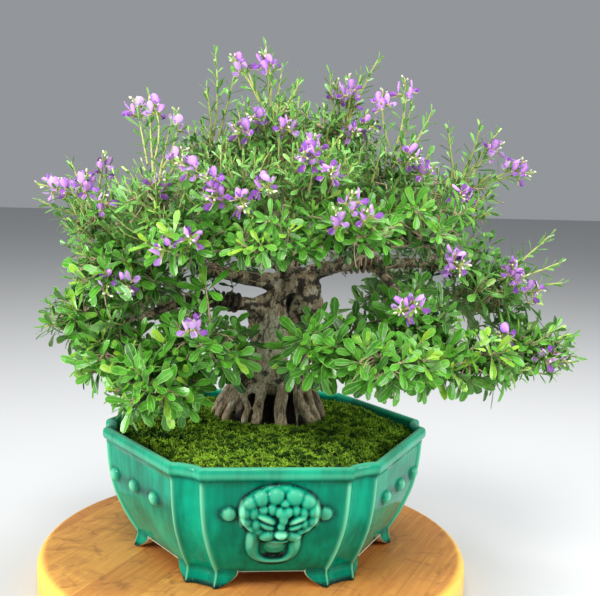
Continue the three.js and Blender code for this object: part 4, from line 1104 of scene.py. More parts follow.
LIMB_PATHS = {
    "wired_left": ([(12, 18, 238), (-14, 10, 244), (-40, 0, 249), (-64, -4, 252), (-92, -10, 248),
                    (-128, -18, 234), (-168, -4, 226)], [11, 8, 7, 6, 5, 4, 2.4]),
    "low_left": ([(-60, -3, 251), (-78, -40, 236), (-96, -68, 208), (-112, -88, 190)], [4.5, 4, 3.2, 2.2]),
    "upper_left": ([(20, 20, 262), (-8, 12, 270), (-38, 0, 277), (-72, -6, 285), (-110, -10, 305),
                    (-158, 0, 326)], [11, 8.5, 7, 6, 4.5, 2.6]),
    "wired_right": ([(22, 20, 266), (50, 12, 280), (76, 2, 288), (106, -2, 290), (140, -4, 292),
                     (182, 2, 288), (220, 0, 272)], [12, 8, 7, 6, 5, 4, 2.4]),
    "low_right": ([(104, -2, 290), (122, -34, 268), (150, -60, 226), (196, -58, 208), (250, -24, 210)],
                  [5, 4.4, 3.8, 3.2, 2.2]),
    "leader": ([(20, 22, 270), (12, 26, 306), (0, 22, 350), (8, 12, 396), (26, 6, 430)], [12, 8, 6, 4, 2]),
    "front": ([(20, 18, 272), (12, -28, 292), (4, -80, 306), (0, -116, 314)], [8, 5.5, 4.2, 2.6]),
    "front_right": ([(50, 12, 280), (62, -36, 290), (70, -84, 300), (64, -108, 318)], [6, 5, 3.6, 2.4]),
    "back_left": ([(10, 24, 286), (-28, 66, 300), (-78, 94, 306), (-124, 96, 312)], [8, 6, 4.6, 2.6]),
    "back_right": ([(20, 24, 284), (52, 64, 296), (96, 94, 304), (138, 104, 318)], [8, 6, 4.6, 2.6]),
}


def sampled(path, radii, spacing=2.5):
    """A path in even short steps, with its thickness at each"""
    length = np.linalg.norm(np.diff(np.asarray(path, dtype=float), axis=0), axis=1).sum()
    line, share = smooth_path(path, max(4, int(length / spacing)))
    return line, np.interp(share, np.linspace(0, 1, len(radii)), radii)


def remeshed(name, shells, voxel):
    """Several shells fused into one skin"""
    points, faces = join_shells(shells)
    piece = make_piece(name, points, faces, BARK)
    modifier = piece.modifiers.new("fuse", "REMESH")
    modifier.mode = "VOXEL"
    modifier.voxel_size = voxel * MM
    return settle(piece, modifier)


def nearness(places, centre, reach):
    """1 at the centre, fading to nothing beyond its reach along each axis"""
    return np.exp(-(((places - np.array(centre)) / np.array(reach)) ** 2).sum(axis=1))


def vertex_rows(mesh, key):
    """A mesh's places or normals, a row for each point"""
    values = np.empty(len(mesh.vertices) * 3)
    mesh.vertices.foreach_get(key, values)
    return values.reshape(-1, 3)


def nearest_wood(places, lines, is_core):
    """For each place the nearest path's middle, direction, girth, distance along, and if it is a core"""
    samples = []
    for number, (line, radii) in enumerate(lines):
        core = np.full(len(line), float(is_core[number]))
        run = run_along(line) + 31.0 * number
        samples.append(np.column_stack([line, directions(line), radii, run, core]))
    samples = np.concatenate(samples)
    tree = KDTree(len(samples))
    for number, sample in enumerate(samples):
        tree.insert(sample[:3], number)
    tree.balance()
    nearest = samples[[tree.find(place)[1] for place in places]]
    return nearest[:, :3], nearest[:, 3:6], *nearest[:, 6:].T


def bark_grain(places, middle, way, run):
    """Fissures, fibres and lumps of the bark; the first two are drawn out along the growth"""
    grain_space = places - middle
    grain_space -= (grain_space * way).sum(axis=1)[:, None] * way
    grain_space[:, 2] += run * 0.16
    fissure = 1 - np.abs(noise_at(grain_space, 7.5, 2.7))
    fine = 1 - np.abs(noise_at(grain_space, 3.4, 5.9))
    lumps = noise_at(places, 15.0, 8.3) + 0.5 * noise_at(places, 7.0, 6.1)
    return np.clip((fissure - 0.82) / 0.18, 0, 1) ** 1.2, np.clip((fine - 0.7) / 0.3, 0, 1), lumps


def bark_fields(places, normals, groove, lumps, hollow, core):
    """How open the bark is, where painted shade darkens it, how pale with lichen it is, and where it is
    washed clean
    """
    x, y, z = places.T
    # ridge: the bark's own fissures, and painted shade in them, on low lumps and in the fork's hollow
    ridge = np.clip(0.85 - groove * 0.65 + lumps * 0.12 - hollow * 1.2, 0, 1)
    between_roots = np.exp(-((x - 7) / 41.0) ** 2) * smoothstep(-8.0, 2.0, y) * smoothstep(34.0, 22.0, y)
    faces_down = np.clip(-normals[:, 2] - 0.15, 0, 1)
    # painted shade: between the roots and on their core, in the fork's hollow, below the knob, on wood that
    # faces down under the limbs, and darker towards the soil
    damp = (1.4 * np.maximum(between_roots, core) * smoothstep(162.0, 150.0, z) + 0.9 * hollow
            + 0.45 * smoothstep(136.0, 122.0, z) + 0.55 * nearness(places, *BELOW_KNOB)
            + 0.7 * faces_down * smoothstep(200.0, 240.0, z))
    # more lichen on the column's front; its extra brightness there is painted light where the column is lit
    pale = np.exp(-((x - 8) / 17.0) ** 2 - ((z - 205) / 36.0) ** 2)
    return {"ridge": ridge, "damp": np.clip(damp, 0, 1), "pale": pale, "clean": smoothstep(172.0, 156.0, z)}


# Places on the trunk and their reach: the hollow under the fork, and the wood below the knob, which both get
# painted shade
FORK_HOLLOW = ((22.0, 2.0, 250.0), (4.5, 14.0, 9.0))
BELOW_KNOB = ((40.0, 12.0, 232.0), (16.0, 20.0, 13.0))
# Below this height the roots are covered, and stay smooth
COVERED_HEIGHT = 114.0


def make_trunk():
    """Trunk, roots and limbs fused in one skin, with fibres and fissures that follow the growth"""
    woods = [*TRUNK_PATHS.values(), *ROOT_PATHS, *LIMB_PATHS.values()]
    lines = [sampled(path, radii) for path, radii in woods]
    is_core = [name.startswith("core") for name in TRUNK_PATHS] + [False] * (len(woods) - len(TRUNK_PATHS))
    piece = remeshed("trunk_wood", [tube(line, radii, 12) for line, radii in lines], 1.7)
    mesh = piece.data
    places, normals = vertex_rows(mesh, "co") / MM - POT_PLACE, vertex_rows(mesh, "normal")
    middle, way, girth, run, core = nearest_wood(places, lines, is_core)
    groove, fibres, lumps = bark_grain(places, middle, way, run)
    hollow = nearness(places, *FORK_HOLLOW)
    move = (lumps * 2.8 - groove * 2.3 - fibres * 0.6) * np.clip(girth / 16.0, 0.1, 1.0) - hollow * 8.0
    move[places[:, 2] < COVERED_HEIGHT] = 0.0
    moved = places + normals * move[:, None]
    mesh.vertices.foreach_set("co", ((moved + POT_PLACE) * MM).ravel())
    store(mesh, bark_fields(places, normals, groove, lumps, hollow, core))
    mesh.shade_smooth()
    mesh.update()
    hand_over(piece, "trunk")


make_trunk()

WIRE_RADIUS = 1.7


def make_wire(name, node, limb, share_from, share_to, turns, weathered):
    """A smooth coil round a limb; weathered is how far it has taken the bark's colour"""
    path, radii = LIMB_PATHS[limb]
    line, girths = sampled(path, radii, 1.0)
    steps = turns * 20
    shares = share_from + (share_to - share_from) * np.arange(steps + 1) / steps
    at, numbers = shares * (len(line) - 1), np.arange(len(line))
    centre = places_at(line, numbers, at)
    reach = np.interp(at, numbers, girths) + WIRE_RADIUS * 0.9
    way = places_at(directions(line), numbers, at)
    side = np.cross(way, UP)
    side /= np.linalg.norm(side, axis=1)[:, None]
    over = np.cross(side, way)
    angle = np.arange(steps + 1) / 20 * TURN
    coil = centre + side * (reach * np.cos(angle))[:, None] + over * (reach * np.sin(angle))[:, None]
    points, faces = tube(coil, np.full(len(coil), WIRE_RADIUS), 10)
    worn = np.full(len(points), weathered)
    hand_over(make_piece(name, points, faces, WIRE, {"weathered": worn}), node)


make_wire("coiled_wire_left", "training_wire_left", "wired_left", 0.24, 0.46, 8, 0.0)
make_wire("coiled_wire_right", "training_wire_right", "wired_right", 0.27, 0.47, 7, 0.8)


# Blades: thin closed skins given by rings of left edge, upper middle, right edge and lower middle
def blade_mesh(name, parts):
    """A shape to repeat, from parts of (rings, foot, head, part number); edges stay crisp"""
    points, faces, across, along, part_of, below, crisp = [], [], [], [], [], [], []
    for rings, foot, head, number in parts:
        start = len(points)
        points.append(foot)
        across.append(0.0)
        along.append(0.0)
        for i, ring in enumerate(rings):
            points.extend(ring)
            across.extend([1.0, 0.0, 1.0, 0.0])
            along.extend([(i + 1) / (len(rings) + 1)] * 4)
        points.append(head)
        across.append(0.6)
        along.append(1.0)
        tip = len(points) - 1
        for k in range(4):
            nearby = (k + 1) % 4
            faces.append((start, start + 1 + nearby, start + 1 + k))
            for i in range(len(rings) - 1):
                low = start + 1 + 4 * i
                faces.append((low + k, low + nearby, low + 4 + nearby, low + 4 + k))
            last = start + 1 + 4 * (len(rings) - 1)
            faces.append((last + k, last + nearby, tip))
            is_below = 0.0 if k in (0, 1) else 1.0
            below.extend([is_below] * (len(rings) + 1))
            part_of.extend([float(number)] * (len(rings) + 1))
        for edge in (0, 2):
            line = [start] + [start + 1 + 4 * i + edge for i in range(len(rings))] + [tip]
            crisp.extend(zip(line[:-1], line[1:]))
    mesh = bpy.data.meshes.new(name)
    mesh.from_pydata(points, [], faces)
    store(mesh, {"across": across, "along": along})
    store(mesh, {"underside": below, "petal_part": part_of}, "FACE")
    wanted = {tuple(sorted(edge)) for edge in crisp}
    sharp = mesh.attributes.new("sharp_edge", "BOOLEAN", "EDGE")
    sharp.data.foreach_set("value", [tuple(sorted(edge.vertices)) in wanted for edge in mesh.edges])
    return bpy.data.objects.new(name, mesh)


# Leaf outline: share of the length, and half width as a share of the length
BROAD_OUTLINE = [(0.18, 0.032), (0.46, 0.100), (0.75, 0.160), (0.94, 0.108)]
MIDDLE_OUTLINE = [(0.24, 0.045), (0.64, 0.160), (0.90, 0.110)]
FINE_OUTLINE = [(0.34, 0.080), (0.82, 0.104)]


def leaf_shape(name, outline, fold, droop, twist):
    """A leaf one unit long from its foot along x: folded along its rib, drooping and twisted"""
    rings = []
    for along, half in outline:
        spine_z = -droop * along**2 + 0.35 * droop * along
        roll = twist * along
        edge_y, edge_z = half * math.cos(roll), half * math.sin(roll)
        lift = fold * half
        rings.append([
            (along, -edge_y, spine_z - edge_z + lift), (along, 0.0, spine_z + 0.009),
            (along, edge_y, spine_z + edge_z + lift), (along, 0.0, spine_z - 0.009),
        ])
    head = (1.0, 0.0, -droop + 0.35 * droop)
    return blade_mesh(name, [(rings, (0.0, 0.0, 0.0), head, 0)])


def petal(length, widths, way, spread, lift, hollow):
    """Rings of one petal: way is its direction, spread its breadth's direction, lift its face's normal"""
    way, spread, lift = (np.array(v, dtype=float) for v in (way, spread, lift))
    rings = []
    for share, half, bow in widths:
        middle = way * length * share + lift * bow
        edge = spread * half
        rim = lift * (bow + hollow * half) - lift * bow
        rings.append([tuple(middle - edge + rim), tuple(middle + lift * 0.16), tuple(middle + edge + rim),
                      tuple(middle - lift * 0.16)])
    head = way * length + lift * (widths[-1][2] + hollow)
    return rings, head


def set_at(offset, petal_shape, number):
    """A petal moved to its place on the flower"""
    rings, head = petal_shape
    offset = np.array(offset)
    moved = [[tuple(np.array(p) + offset) for p in ring] for ring in rings]
    return moved, tuple(offset), tuple(head + offset), number


def round_rings(sections, over=1.0, under=1.0):
    """Four-sided rings along x, from their places and radii"""
    return [[(x, -r, 0.0), (x, 0.0, r * over), (x, r, 0.0), (x, 0.0, -r * under)] for x, r in sections]


def pea_flower(name, opened):
    """Pea flower in millimetres: calyx at the origin, keel and wings along x, standard along z"""
    lean = 0.25 + 0.45 * (1 - opened)
    standard = petal(9.6, [(0.14, 1.3, 0.3), (0.42, 3.4 * opened + 0.8, 0.5), (0.76, 4.3 * opened + 0.6, 0.1),
                           (1.04, 2.5 * opened + 0.4, -0.8)],
                     (lean, 0.0, 1.0 - 0.3 * lean), (0.0, 1.0, 0.0), (1.0 - 0.3 * lean, 0.0, -lean), -0.35)
    parts = [set_at((1.2, 0.0, 0.6), standard, 0)]
    for side in (-1.0, 1.0):
        way = np.array([0.92, side * 0.26 * opened, -0.12])
        way /= np.linalg.norm(way)
        breadth = np.array([0.2, side * 0.45, 0.85])
        wing = petal(7.8, [(0.2, 0.9, 0.0), (0.55, 2.3, 0.5), (0.88, 1.8, 0.4)], way, breadth,
                     np.cross(way, breadth), 0.25 * side)
        parts.append(set_at((1.4, side * 0.7, 0.2), wing, 1))
    keel = petal(6.2, [(0.25, 1.0, -0.4), (0.65, 1.3, -0.8), (0.9, 0.8, -0.5)], (0.96, 0.0, -0.28),
                 (0.0, 1.0, 0.0), (0.28, 0.0, 0.96), 0.9)
    parts.append(set_at((1.2, 0.0, -0.8), keel, 2))
    cup = round_rings([(-1.6, 0.9), (0.4, 1.7), (2.0, 1.8)])
    parts.append((cup, (-2.6, 0.0, 0.0), (2.2, 0.0, 0.0), 3))
    return blade_mesh(name, parts)


def pea_bud(name):
    """A closed bud, cream in its green calyx"""
    cup = round_rings([(0.4, 0.7), (1.5, 1.1)])
    nose = round_rings([(1.4, 0.9), (3.2, 1.3), (4.6, 0.9)], 1.3, 1.1)
    return blade_mesh(name, [(cup, (-0.6, 0.0, 0.0), (2.0, 0.0, 0.0), 3),
                             (nose, (0.8, 0.0, 0.0), (5.6, 0.0, 0.3), 2)])


# Spray tree: sweeps stems along the drawn lines and sets blades or blossoms on the loose points
def spray_tree():
    tree, given, result, keys = node_tree("stems with blades", {
        "Stem sides": "NodeSocketInt", "Stem material": "NodeSocketMaterial",
        "Blades": "NodeSocketCollection", "Blade material": "NodeSocketMaterial",
        "Size spread": "NodeSocketFloat", "Seed": "NodeSocketInt",
    })
    named = {name: add_node(tree, "GeometryNodeInputNamedAttribute", {"data_type": kind}, {"Name": name})
             .outputs["Attribute"]
             for name, kind in (("stem_radius", "FLOAT"), ("is_blade", "FLOAT"), ("kind", "INT"),
                                ("turn", "FLOAT_VECTOR"), ("blade_size", "FLOAT"))}
    line = add_node(tree, "GeometryNodeMeshToCurve", {}, {"Mesh": given.outputs["Geometry"]})
    section = add_node(tree, "GeometryNodeCurvePrimitiveCircle", {"mode": "RADIUS"},
                       {"Resolution": given.outputs["Stem sides"], "Radius": 1.0})
    swept = add_node(tree, "GeometryNodeCurveToMesh", {}, {
        "Curve": line.outputs[0], "Profile Curve": section.outputs[0], "Scale": named["stem_radius"],
        "Fill Caps": True,
    })
    stems = with_material(tree, swept, given.outputs["Stem material"])
    shapes = template_shapes(tree, given.outputs["Blades"])
    smallest = maths(tree, "SUBTRACT", 1.0, given.outputs["Size spread"])
    largest = maths(tree, "ADD", 1.0, given.outputs["Size spread"])
    draw = add_node(tree, "FunctionNodeRandomValue", {"data_type": "FLOAT"}, {
        2: smallest, 3: largest, "Seed": given.outputs["Seed"],
    })
    size = maths(tree, "MULTIPLY", draw.outputs[1], named["blade_size"])
    turned = add_node(tree, "FunctionNodeEulerToRotation", {}, {"Euler": named["turn"]})
    placed = add_node(tree, "GeometryNodeInstanceOnPoints", {}, {
        "Points": given.outputs["Geometry"], "Selection": named["is_blade"], "Instance": shapes,
        "Pick Instance": True, "Instance Index": named["kind"], "Rotation": turned.outputs[0],
        "Scale": size,
    })
    blades = real_copies(tree, placed, given.outputs["Blade material"])
    join_up(tree, result, stems.outputs[0], blades.outputs[0])
    return tree, keys


SPRAY_TREE, SPRAY_KEYS = spray_tree()


class Growth:
    """Stems and blades of one spray, gathered before they are made"""

    def __init__(self, seed):
        self.draw = random.Random(seed)
        self.stems = []
        self.blades = []
        self.bases = []

    def stem(self, path, thick, thin, woody):
        self.stems.append((path, thick, thin, woody))

    def blade(self, place, way, face, size, kind, tone):
        self.blades.append((place, way, face, size, kind, tone))

    def twig(self, end, thick):
        """A woody twig from the nearest base on the branches"""
        base = min(self.bases, key=lambda place: np.linalg.norm(place - end))
        self.stem(bent(base, end, 1.5, 3, self.draw, 0.1), thick, thick * 0.62, 1.0)


def unit(vector):
    vector = np.asarray(vector, dtype=float)
    return vector / max(np.linalg.norm(vector), 1e-9)


def jitter(draw, reach):
    return np.array([draw.uniform(-reach, reach) for _ in range(3)])


def square_to(vector):
    """Two directions square to one, and to each other"""
    side = np.cross(vector, UP)
    if np.linalg.norm(side) < 0.05:
        side = np.array([1.0, 0.0, 0.0])
    side = unit(side)
    return side, np.cross(side, vector)


def stem_lines(stems):
    """The stems' points and edges, with their radius and their share of wood at each point"""
    points, edges, radius, woody = [], [], [], []
    for path, thick, thin, is_woody in stems:
        woody_foot, woody_tip = (is_woody, is_woody) if np.isscalar(is_woody) else is_woody
        edges.extend((k, k + 1) for k in range(len(points), len(points) + len(path) - 1))
        for k, place in enumerate(path):
            share = k / (len(path) - 1)
            points.append(place)
            radius.append((thick + (thin - thick) * share) * MM)
            woody.append(woody_foot + (woody_tip - woody_foot) * share)
    return points, edges, radius, woody


def blade_turn(way, face):
    """The turn of a blade that points one way and faces another"""
    x_axis = unit(way)
    z_axis = unit(face - x_axis * x_axis.dot(face))
    y_axis = np.cross(z_axis, x_axis)
    return tuple(Matrix(np.column_stack([x_axis, y_axis, z_axis]).tolist()).to_euler("XYZ"))


def build_growth(name, growth, shapes, blade_material, seed, spread=0.12):
    """Turns gathered stems and blades into one mesh"""
    points, edges, radius, woody = stem_lines(growth.stems)
    stem_points = len(points)
    places, ways, blade_faces, lengths, kinds, tones = zip(*growth.blades)
    points.extend(places)
    turns = [blade_turn(way, face) for way, face in zip(ways, blade_faces)]
    sizes = [length * MM for length in lengths]
    mesh = bpy.data.meshes.new(name)
    mesh.from_pydata(((np.array(points) + POT_PLACE) * MM).tolist(), edges, [])
    blades = len(growth.blades)
    off_blades, off_stems = [0.0] * blades, [0.0] * stem_points
    store(mesh, {
        "stem_radius": radius + off_blades, "woody": woody + off_blades,
        "is_blade": off_stems + [1.0] * blades, "blade_size": off_stems + sizes,
        "tone": off_stems + [*tones],
    })
    mesh.attributes.new("kind", "INT", "POINT").data.foreach_set("value", [0] * stem_points + [*kinds])
    turn = mesh.attributes.new("turn", "FLOAT_VECTOR", "POINT")
    turn.data.foreach_set("vector", [c for t in [(0.0, 0.0, 0.0)] * stem_points + turns for c in t])
    piece = bpy.data.objects.new(name, mesh)
    bpy.context.collection.objects.link(piece)
    return grow(piece, SPRAY_TREE, SPRAY_KEYS, {
        "Stem sides": 4, "Stem material": STEM, "Blades": shapes, "Blade material": blade_material,
        "Size spread": spread, "Seed": seed,
    })


# Leafy sprays: middle, half sizes, and whether their leaves are broad
SPRAYS = {
    "upper_left_outer": ((-172, 0, 328), (43, 54, 42), False),
    "upper_left_low": ((-150, -48, 289), (46, 46, 28), True),
    "upper_left_middle": ((-112, -58, 352), (46, 44, 42), False),
    "upper_left_front": ((-80, -104, 310), (48, 42, 34), True),
    "top_left": ((-58, 4, 392), (44, 46, 40), False),
    "upper_front_left": ((-38, -100, 366), (44, 42, 42), False),
    "top_middle_left": ((-2, -26, 424), (42, 42, 38), False),
    "front_middle": ((-10, -140, 316), (44, 36, 32), True),
    "upper_front_middle": ((36, -98, 380), (42, 42, 42), False),
    "top_middle_right": ((68, 6, 414), (44, 46, 40), False),
    "front_right": ((64, -128, 322), (46, 38, 36), True),
    "top_right": ((112, -44, 378), (46, 46, 42), False),
    "upper_right_front": ((138, -86, 322), (48, 42, 38), True),
    "upper_right_outer": ((188, 4, 362), (48, 52, 42), False),
    "right_outer": ((228, -2, 268), (50, 50, 36), False),
    "low_left_outer": ((-184, 12, 230), (44, 48, 34), True),
    "low_left_middle": ((-150, -56, 208), (46, 40, 32), True),
    "low_left_tip": ((-112, -104, 184), (44, 34, 30), True),
    "low_left_front": ((-66, -86, 222), (42, 38, 34), True),
    "low_right_inner": ((46, -102, 221), (44, 38, 34), True),
    "low_right_tip": ((102, -136, 216), (46, 34, 32), True),
    "low_right_middle": ((134, -72, 244), (46, 40, 34), True),
    "low_right_front": ((190, -94, 210), (46, 38, 30), True),
    "low_right_outer": ((266, -26, 210), (46, 46, 32), True),
    "back_left": ((-134, 86, 326), (52, 50, 44), False),
    "back_middle_left": ((-48, 122, 346), (50, 46, 46), False),
    "back_middle_right": ((46, 126, 350), (50, 46, 46), False),
    "back_right": ((142, 100, 342), (54, 50, 44), False),
    "back_top": ((4, 70, 412), (50, 44, 42), False),
    "back_low_left": ((-120, 92, 240), (50, 46, 34), True),
    "back_low_right": ((150, 96, 244), (52, 46, 34), True),
}
SPRAYS = {name: (np.array(middle, dtype=float), np.array(half, dtype=float), broad)
          for name, (middle, half, broad) in SPRAYS.items()}
# Tips of the long shoots that stand above the dome or out of the pads, by the spray that they grow from
LONG_SHOOTS = {
    "top_middle_left": [(-10, -10, 500), (-26, -6, 474), (6, -14, 478), (22, -16, 468)],
    "top_left": [(-58, 0, 492), (-38, 6, 478), (-66, 0, 458)],
    "upper_left_middle": [(-120, -20, 450), (-96, -28, 430)],
    "top_middle_right": [(54, 0, 475), (101, 0, 491), (84, -4, 476)],
    "top_right": [(128, -40, 452), (146, -46, 440)],
    "upper_right_outer": [(225, 0, 424), (205, -6, 432), (174, 0, 428)],
    "upper_left_outer": [(-225, 0, 346), (-196, 8, 384), (-214, 0, 364)],
    "right_outer": [(301, -4, 274), (286, 0, 322), (296, -10, 296)],
    "low_right_outer": [(311, -20, 222), (308, -40, 204)],
    "low_left_outer": [(-226, 10, 218)],
    "back_top": [(30, 70, 470)],
    "back_middle_left": [(-60, 130, 412)],
    "back_middle_right": [(72, 130, 414)],
}
# Racemes: each leafy spray's flower clusters, by the place of each cluster's end
RACEMES = {
    "upper_left_outer": [(-225, -6, 361), (-203, -14, 366), (-162, -10, 390), (-158, -58, 355),
                         (-176, -40, 372)],
    "upper_left_middle": [(-134, -6, 444), (-118, -18, 446), (-94, -22, 434), (-86, -90, 398),
                          (-105, -86, 374)],
    "upper_left_front": [(-106, -146, 316), (-78, -152, 324)],
    "upper_left_low": [(-152, -92, 268), (-132, -98, 270)],
    "upper_front_left": [(-62, -136, 360), (-34, -150, 352), (-12, -146, 366), (-89, -100, 388),
                         (-66, -130, 376)],
    "top_middle_left": [(-42, -30, 486), (-14, -34, 489), (-40, -66, 420), (8, -70, 424), (-25, -60, 430)],
    "upper_front_middle": [(14, -148, 396), (40, -152, 384), (24, -140, 410)],
    "top_middle_right": [(60, -8, 466), (80, -6, 462), (76, -48, 420), (70, -20, 472), (92, -46, 424)],
    "front_right": [(42, -168, 352), (68, -170, 354), (56, -164, 366)],
    "top_right": [(100, -40, 458), (120, -44, 470), (122, -96, 396), (140, -88, 388), (132, -60, 402)],
    "upper_right_outer": [(174, -62, 362), (224, -14, 412), (248, -16, 396), (258, -14, 386),
                          (186, -50, 358)],
    "right_outer": [(242, -58, 286), (262, -48, 272), (231, -56, 298)],
    "upper_right_front": [(162, -134, 306), (160, -128, 300)],
    "low_right_middle": [(106, -134, 262), (120, -132, 266)],
    "low_right_outer": [(270, -70, 208), (288, -62, 204), (216, -66, 230)],
    "low_left_front": [(-78, -130, 250)],
    "back_middle_left": [(-70, 172, 380), (-20, 174, 366)],
    "back_right": [(124, 150, 382), (176, 146, 366)],
}
RACEME_LENGTH = 20.0
LIMB_TIPS = [sampled(path, radii, 6.0)[0][6:] for path, radii in LIMB_PATHS.values()]


def nearest_on_limbs(place):
    """Where the closest limb passes"""
    best = min((np.linalg.norm(line - place, axis=1).min(), i) for i, line in enumerate(LIMB_TIPS))
    line = LIMB_TIPS[best[1]]
    return line[np.linalg.norm(line - place, axis=1).argmin()]


def bent(start, end, sag, steps, draw, wander):
    """A stem's path that bows and wanders between two places"""
    start, end = np.asarray(start, dtype=float), np.asarray(end, dtype=float)
    length = np.linalg.norm(end - start)
    side, over = square_to(unit(end - start))
    bow_side, bow_over = draw.uniform(-wander, wander) * length, draw.uniform(-wander, wander) * length
    path = []
    for k in range(steps + 1):
        share = k / steps
        arch = 4 * share * (1 - share)
        path.append(start + (end - start) * share + (side * bow_side + over * bow_over + UP * sag) * arch)
    return path


def whorl(growth, tip, way, leaves, longest, tone, blades=(0, 1, 2), hang=0.18):
    """A rosette of leaves at a twig's end: the youngest stand upright in its middle"""
    draw = growth.draw
    side, over = square_to(way)
    start = draw.uniform(0, TURN)
    for i in range(leaves):
        share = i / max(leaves - 1, 1)
        azimuth = start + i * GOLDEN_ANGLE + draw.uniform(-0.2, 0.2)
        opening = 0.25 + 1.3 * share**0.8 + draw.uniform(-0.18, 0.18)
        radial = side * math.cos(azimuth) + over * math.sin(azimuth)
        aim = way * math.cos(opening) + radial * math.sin(opening)
        aim = unit(aim - UP * hang * share)
        face = way * math.sin(opening) - radial * math.cos(opening) + UP * 0.35
        face = face + side * draw.uniform(-0.25, 0.25)
        length = longest * (0.55 + 0.45 * min(1.0, share * 1.8)) * draw.uniform(0.82, 1.08)
        place = tip - way * (7.0 * share)
        shade = tone + 0.25 * (1 - share) - 0.08 + draw.uniform(-0.16, 0.16)
        growth.blade(place, aim, face, length, draw.choice(blades), min(max(shade, 0.0), 1.0))


def leafy_shoot(growth, path, longest, spacing, tone, blades, bare_share):
    """A shoot with leaves in a spiral along it, shorter towards its tip"""
    draw = growth.draw
    path = np.array(path)
    run = run_along(path)
    length = run[-1]
    count = max(3, int(length * (1 - bare_share) / spacing))
    start = draw.uniform(0, TURN)
    for i in range(count):
        share = bare_share + (1 - bare_share) * i / (count - 1)
        at = share * length
        place = places_at(path, run, at)
        cell = min(int(np.searchsorted(run, at, side="right")) - 1, len(path) - 2)
        way = unit(path[cell + 1] - path[cell])
        side, over = square_to(way)
        azimuth = start + i * GOLDEN_ANGLE + draw.uniform(-0.25, 0.25)
        opening = 1.15 - 0.75 * share**2 + draw.uniform(-0.2, 0.2)
        radial = side * math.cos(azimuth) + over * math.sin(azimuth)
        aim = way * math.cos(opening) + radial * math.sin(opening)
        face = way * math.sin(opening) - radial * math.cos(opening)
        size = longest * (1 - 0.45 * share**3) * draw.uniform(0.75, 1.08)
        shade = tone + 0.3 * share - 0.12 + draw.uniform(-0.15, 0.15)
        growth.blade(place, aim, face, size, draw.choice(blades), min(max(shade, 0.0), 1.0))


def sphere_way(i, count, low, high, phase):
    """An even spread of directions between two heights of the unit sphere"""
    rise = high + (low - high) * (i + 0.5) / count
    angle = i * GOLDEN_ANGLE + phase
    flat = math.sqrt(max(0.0, 1 - rise * rise))
    return np.array([flat * math.cos(angle), flat * math.sin(angle), rise])


CROWN_MIDDLE = np.array([30.0, -5.0, 290.0])
CROWN_HALF = np.array([250.0, 150.0, 190.0])
CROWN_FOOT = np.array([20.0, 20.0, 170.0])
# Stems: radius at the foot and at the tip, then how woody they are, all along or at the foot and the tip
LIMB_STEM, BRANCH_STEM, TUFT_STEM = (2.8, 1.9, 1.0), (1.8, 1.1, 1.0), (1.0, 0.6, 1.0)
DRY_STEM, BARE_STEM = (0.8, 0.5, 1.0), (0.7, 0.4, 1.0)
SHOOT_STEM, LONG_STEM = (1.15, 0.65, (0.6, 0.0)), (1.4, 0.7, (0.4, 0.0))
FLOWER_STEM, FLOWER_STALK = (1.3, 0.7, (0.25, 0.0)), (0.45, 0.35, 0.1)
# Lengths of the leaves, from the shortest to the longest
ROSETTE_LEAF, UNDER_LEAF, MIDDLE_LEAF, SHOOT_LEAF = (22.0, 31.0), (17.0, 24.0), (14.0, 19.0), (13.0, 19.0)
# Parting of the leaves along a spray's shoots, and along the long ones and the racemes
SHOOT_PARTING, LONG_PARTING = 2.7, 3.2
# Numbers of shoot ends in a spray of rosettes, in one of shoots, and of each kind in a mixed one
ROSETTE_ENDS, SHOOT_ENDS, MIXED_ENDS = 30, 40, 18
# Each kind of growth draws from seeds of its own
LEAF_SEED, LEAF_SIZE_SEED, FLOWER_SIZE_SEED, FLOWER_SEED, RACEME_SEED = 100, 300, 500, 700, 900
# Numbers of the blades in rosettes inside a spray, and along its shoots
MIDDLE_BLADES, SHOOT_BLADES = (3, 4), (4, 5, 5, 6, 6)
# Sprays at the tips of the pads, with rosettes and leafy shoots in one
MIXED_SPRAYS = ("right_outer", "low_right_outer", "low_left_outer", "upper_left_low")
# Sprays closer than this grow into each other
BRIDGE_REACH = 100.0
# Heights under which the dome's front sprays have no shoots, so that the limbs below them show
UNDERSIDES = {"front_middle": 319.0, "front_right": 332.0, "upper_right_front": 332.0,
              "upper_left_front": 314.0, "upper_front_middle": 338.0, "top_right": 346.0}
# Places of the small tufts that grow straight out of the big limbs, under the dome and at its right
LIMB_TUFTS = {
    "upper_left_front": [(-26, 0, 288), (-44, -8, 292), (-62, -10, 295), (-38, -8, 268), (-58, -12, 272),
                         (-82, -14, 286), (-100, -16, 292), (-76, -14, 268), (-92, -6, 276), (-108, -10, 282),
                         (-118, -14, 268), (-70, 6, 276), (-94, 8, 266), (-52, 2, 300), (-96, 12, 298),
                         (-64, 12, 284), (-132, -14, 262), (-116, 6, 276), (-10, 32, 296), (-28, 36, 300),
                         (-46, 32, 304), (-60, 28, 308), (-20, 26, 286), (-40, 24, 292)],
    "front_right": [(66, -4, 300), (84, -10, 303), (104, -10, 303), (76, 6, 306), (96, 8, 306),
                    (60, 28, 302), (44, 34, 300), (84, 32, 306), (30, 34, 306)],
    "upper_right_front": [(128, -12, 303), (146, -12, 303), (166, -10, 302), (152, -16, 284), (136, 8, 300),
                          (158, 10, 296), (176, 0, 292), (140, -6, 282), (166, 2, 280), (182, 8, 302)],
    "right_outer": [(176, -36, 306), (190, -20, 313), (204, -14, 306), (216, -8, 301), (196, -24, 292),
                    (214, -16, 287), (184, -30, 286), (228, -6, 297), (206, -4, 322), (222, 0, 314)],
}
# Reach above such a height over which the shoots that would be below it are spread
UNDERSIDE_SPREAD = 24.0
